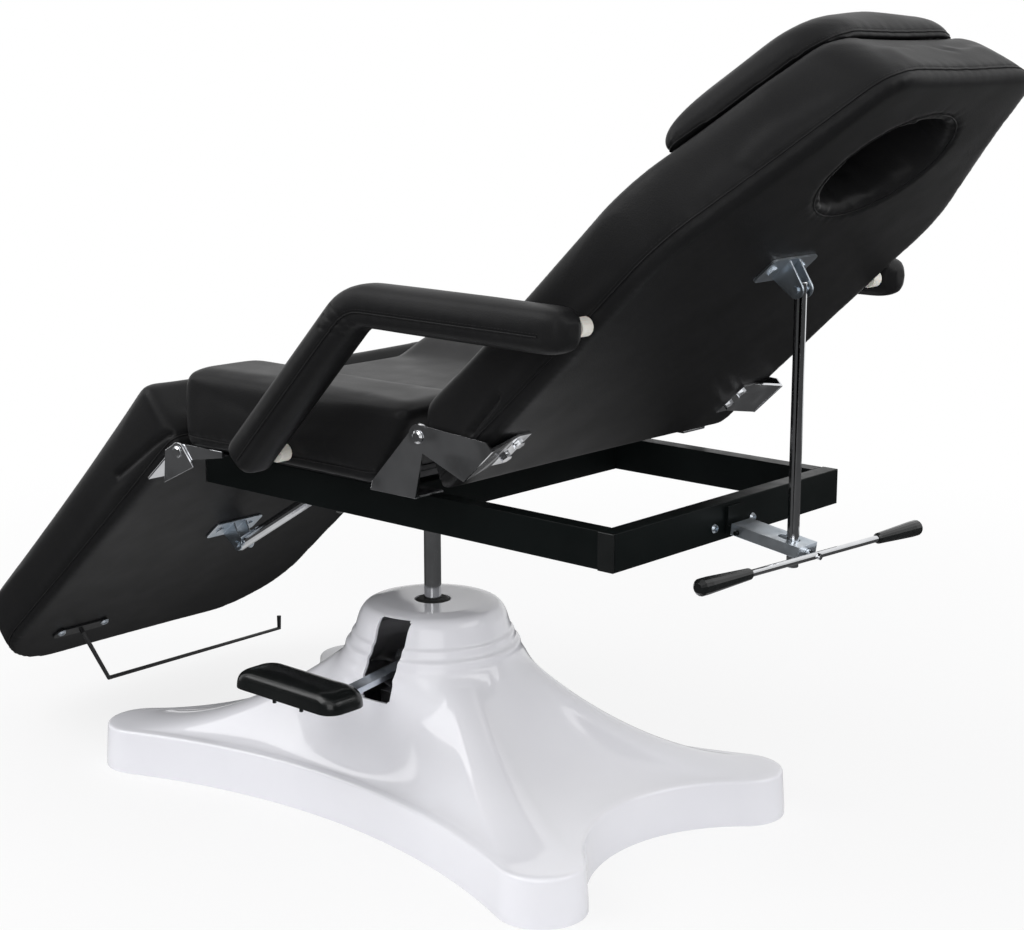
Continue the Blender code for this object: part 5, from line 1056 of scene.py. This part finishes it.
def lobe_outline(inset=0.0):
    """Four round lobes joined by hollow sides, each side an arc that meets two lobes smoothly."""
    _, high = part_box("base_cover")
    lobe_x, lobe_y = high.x - LOBE_RADIUS, high.y - LOBE_RADIUS

    def hollow(along, across, waist):
        offset = waist - across
        radius = (along ** 2 + offset ** 2 - LOBE_RADIUS ** 2) / (2.0 * (LOBE_RADIUS - offset))
        return radius, degrees(atan2(along, waist + radius - across))

    end_radius, end_angle = hollow(lobe_y, lobe_x, WAIST_X)
    side_radius, side_angle = hollow(lobe_x, lobe_y, WAIST_Y)
    points = []
    for x_sign, y_sign, turn in ((1, 1, 0), (-1, 1, 90), (-1, -1, 180), (1, -1, 270)):
        long_side = turn % 180 == 0
        before, after = (end_angle, side_angle) if long_side else (side_angle, end_angle)
        centre = (x_sign * lobe_x, y_sign * lobe_y)
        points += arc(centre, LOBE_RADIUS - inset, turn - before, turn + 90.0 + after, LOBE_POINTS)
        if long_side:
            middle = (0.0, y_sign * (WAIST_Y + side_radius))
            radius, count = side_radius, LONG_SIDE_POINTS
        else:
            middle = (x_sign * (WAIST_X + end_radius), 0.0)
            radius, count = end_radius, SHORT_SIDE_POINTS
        points += arc(middle, radius + inset, turn - 90.0 + after, turn - 90.0 - after, count)[1:-1]
    return np.array(points)


def eased(points, radius, count=5):
    """A profile whose inner corners are rounded."""
    made = [Vector(points[0])]
    for before, here, after in zip(points, points[1:], points[2:]):
        here = Vector(here)
        back = Vector(before) - here
        on = Vector(after) - here
        reach = min(radius, back.length * 0.45, on.length * 0.45)
        one = here + back.normalized() * reach
        two = here + on.normalized() * reach
        for k in range(count + 1):
            t = k / count
            made.append(one * (1 - t) ** 2 + here * 2 * t * (1 - t) + two * t ** 2)
    made.append(Vector(points[-1]))
    return made


def build_base_cover():
    outline = lobe_outline()
    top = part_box("base_cover")[1].z
    angles = np.arctan2(outline[:, 1], outline[:, 0])
    circle = np.column_stack((np.cos(angles), np.sin(angles)))
    rise = DOME_FOOT_HEIGHT - SKIRT_HEIGHT
    skirt_top = SKIRT_HEIGHT + SKIRT_RISE
    rings = []
    skirt = [(0.0, 0.0), (0.0, SKIRT_FOOT), (SKIRT_DRAFT, SKIRT_HEIGHT), (SKIRT_LIP, skirt_top)]
    for inset, height in eased(skirt, SKIRT_ROUND):
        rings.append(at_height(lobe_outline(inset), height))
    for k in range(1, RIDGE_RINGS):
        share = k / RIDGE_RINGS
        ring = lobe_outline(SKIRT_LIP * (1.0 - share)) * (1.0 - share) + circle * DOME_FOOT_RADIUS * share
        for _ in range(int(RIDGE_ROUNDS * share)):
            ring = (np.roll(ring, 1, axis=0) + 2.0 * ring + np.roll(ring, -1, axis=0)) / 4.0
        rings.append(at_height(ring, skirt_top + rise * share ** RIDGE_POWER))
    step = (DOME_FOOT_RADIUS - DOME_TOP_RADIUS) / 4.0
    dome = [(DOME_FOOT_RADIUS - quarters * step - further, DOME_FOOT_HEIGHT + height)
            for quarters, further, height in DOME_BANDS]
    dome += [(DOME_TOP_RADIUS + DOME_TOP_FLARE, top - DOME_TOP_DROP),
             (DOME_TOP_RADIUS - DOME_TOP_ROUND / 4.0, top - DOME_TOP_DROP / 4.0),
             (DOME_TOP_RADIUS - DOME_TOP_ROUND, top), (COLLAR_RADIUS, top)]
    for radius, height in eased(dome, DOME_EASING):
        rings.append(at_height(circle * radius, height))
    obj = thickened(mesh_object("base_shell", loft(rings, capped=False)), COVER_WALL)
    bm = bmesh.new()
    size = (2.0 * SLOT_HALF_WIDTH, WAIST_Y + SLOT_INNER_Y, SLOT_TOP - SLOT_BOTTOM)
    middle = (JOINTS["pedal_press"]["pos_m"][0], (SLOT_INNER_Y - WAIST_Y) / 2.0,
              (SLOT_TOP + SLOT_BOTTOM) / 2.0)
    bmesh.ops.create_cube(bm, size=1.0, matrix=Matrix.Translation(middle) @ Matrix.Diagonal((*size, 1.0)))
    bmesh.ops.bevel(bm, geom=bm.edges[:], offset=SLOT_ROUND, segments=3, affect="EDGES")
    cut_out(obj, mesh_from(bm, "slot"))
    obj.data.shade_smooth()
    obj.data.set_sharp_from_angle(angle=SHARP_EDGE)
    finish_piece(obj, "base", "white_plastic", "base_cover")


def build_base_plate():
    """The floor plate, cut to the inside of the cover."""
    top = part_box("base_plate")[1].z
    rings = [at_height(lobe_outline(inset), share * top + height) for inset, share, height in PLATE_RINGS]
    obj = mesh_object("floor_plate", loft(rings))
    finish_piece(obj, "base", "steel", "base_plate")


def build_pedal_cap():
    """The moulded foot pad: a shell that is open below, with two studs hanging out of it."""
    low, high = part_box("pedal_pad")
    middle = (low + high) / 2.0
    rim = low.z + PEDAL_STUD_DROP
    half_length, half_depth = PEDAL_LENGTH / 2.0, PEDAL_DEPTH / 2.0
    corners = [(-half_length, -half_depth), (half_length, -half_depth), (half_length, half_depth),
               (-half_length, half_depth)]
    outline = rounded_outline(corners, [PEDAL_CORNER] * 4, 0.0, 0.006)
    rings = []
    for length, depth, height in PEDAL_RINGS:
        ring = outline * (length, depth) + (middle.x, middle.y)
        rings.append(at_height(ring, rim + PEDAL_HEIGHT * height))
    skin = loft(rings, capped=False)
    bm = bmesh.new()
    bm.from_mesh(skin)
    rim_edges = [edge for edge in bm.edges
                 if edge.is_boundary and edge.verts[0].co.z > rim + PEDAL_HEIGHT / 2.0]
    bmesh.ops.holes_fill(bm, edges=rim_edges)
    bmesh.ops.recalc_face_normals(bm, faces=bm.faces)
    bm.to_mesh(skin)
    bm.free()
    shell = mesh_object("pedal_cap", skin)
    finer = shell.modifiers.new("finer", "SUBSURF")
    finer.levels = finer.render_levels = 2
    thickened(shell, PEDAL_WALL)
    parts = [shell.data]
    for x in PEDAL_STUD_X:
        place = (middle.x + x, middle.y - PEDAL_STUD_OUT)
        ends = [(*place, rim - PEDAL_STUD_DROP), (*place, rim + PEDAL_HEIGHT - 1.5 * PEDAL_WALL)]
        parts.append(tube(ends, PEDAL_STUD_RADIUS, sides=3))
    shell.data = joined(parts)
    shell.data.shade_smooth()
    shell.data.set_sharp_from_angle(angle=SHARP_EDGE)
    finish_piece(shell, "pedal", "black_plastic", "pedal_pad")


# Stage

def paint_backdrop(tree, shader):
    """Floor that is white to the camera but keeps a shadow, and that mirrors see fade into a dim room."""
    place = tree.nodes.new("ShaderNodeTexCoord").outputs["Object"]
    length = grow(tree, "ShaderNodeVectorMath", {"operation": "LENGTH"})
    tree.links.new(place, length.inputs[0])
    whitened = ranged(tree, length.outputs["Value"], 0.9, 2.6, 0.80, 1.0)
    near = ranged(tree, length.outputs["Value"], 0.45, 0.90, 0.7, ROOM_LEVEL)
    sweep = ranged(tree, along(tree, place, BACKDROP_WAY), 1.3, 2.0, ROOM_LEVEL, 1.0)
    lit = combined(tree, "MAXIMUM", near, sweep)
    path = tree.nodes.new("ShaderNodeLightPath").outputs
    seen = combined(tree, "MAXIMUM", path["Is Camera Ray"], path["Is Transmission Ray"])
    share = combined(tree, "ADD", combined(tree, "MULTIPLY", seen, whitened),
                     combined(tree, "MULTIPLY", path["Is Glossy Ray"], 0.95))
    glow = tree.nodes.new("ShaderNodeEmission")
    tree.links.new(blended(tree, path["Is Glossy Ray"], 1.0, lit), glow.inputs["Strength"])
    mix = tree.nodes.new("ShaderNodeMixShader")
    tree.links.new(share, mix.inputs[0])
    tree.links.new(shader.outputs[0], mix.inputs[1])
    tree.links.new(glow.outputs[0], mix.inputs[2])
    tree.links.new(mix.outputs[0], tree.nodes["Material Output"].inputs["Surface"])


def build_stage():
    scene = bpy.context.scene
    scene.view_settings.view_transform = "Standard"
    camera = bpy.data.cameras.new("camera")
    camera.lens = CAMERA_LENS
    camera.sensor_width = 36.0
    holder = bpy.data.objects.new("camera", camera)
    holder.location = CAMERA_PLACE
    holder.rotation_euler = (radians(90.0 - CAMERA_ELEVATION), 0.0, radians(CAMERA_AZIMUTH))
    scene.collection.objects.link(holder)
    scene.camera = holder

    bm = bmesh.new()
    bmesh.ops.create_circle(bm, cap_ends=True, segments=64, radius=FLOOR_RADIUS)
    floor = mesh_object("floor", mesh_from(bm, "floor"))
    floor.location.z = -FLOOR_DROP
    material = bpy.data.materials.new("pale_floor")
    material.use_nodes = True
    tree = material.node_tree
    shader = tree.nodes["Principled BSDF"]
    shader.inputs["Base Color"].default_value = (0.86, 0.86, 0.87, 1.0)
    shader.inputs["Roughness"].default_value = 0.7
    paint_backdrop(tree, shader)
    floor.data.materials.append(material)

    world = bpy.data.worlds.new("studio")
    scene.world = world
    world.use_nodes = True
    tree = world.node_tree
    sky = tree.nodes["Background"]
    sky.inputs["Color"].default_value = (1.0, 1.0, 1.0, 1.0)
    way = tree.nodes.new("ShaderNodeTexCoord").outputs["Generated"]
    backdrop = ranged(tree, along(tree, way, BACKDROP_WAY), 0.05, 0.40, ROOM_LEVEL, 1.0)
    above = ranged(tree, along(tree, way, (0.0, 0.0, 1.0)), 0.35, 0.75, 0.0, 1.0)
    reflected = combined(tree, "MAXIMUM", backdrop, above)
    path = tree.nodes.new("ShaderNodeLightPath").outputs
    seen = combined(tree, "MAXIMUM", path["Is Camera Ray"], path["Is Transmission Ray"])
    level = blended(tree, path["Is Glossy Ray"], DAYLIGHT, reflected)
    tree.links.new(blended(tree, seen, level, 1.0), sky.inputs["Strength"])

    for name, (place, size, power) in LAMPS.items():
        lamp = bpy.data.lights.new(name, "AREA")
        lamp.size = size
        lamp.energy = power
        holder = bpy.data.objects.new(name, lamp)
        holder.location = place
        holder.rotation_euler = (Vector(LAMP_AIM) - Vector(place)).to_track_quat("-Z", "Y").to_euler()
        scene.collection.objects.link(holder)


def main():
    build_stage()
    dress_solids()
    build_base_cover()
    build_base_plate()
    build_pedal_cap()
    build_screws()
    build_seat()
    build_backrest()
    build_legrest()
    build_pillow()
    for name, side in SIDES.items():
        build_armrest(name, side)


main()
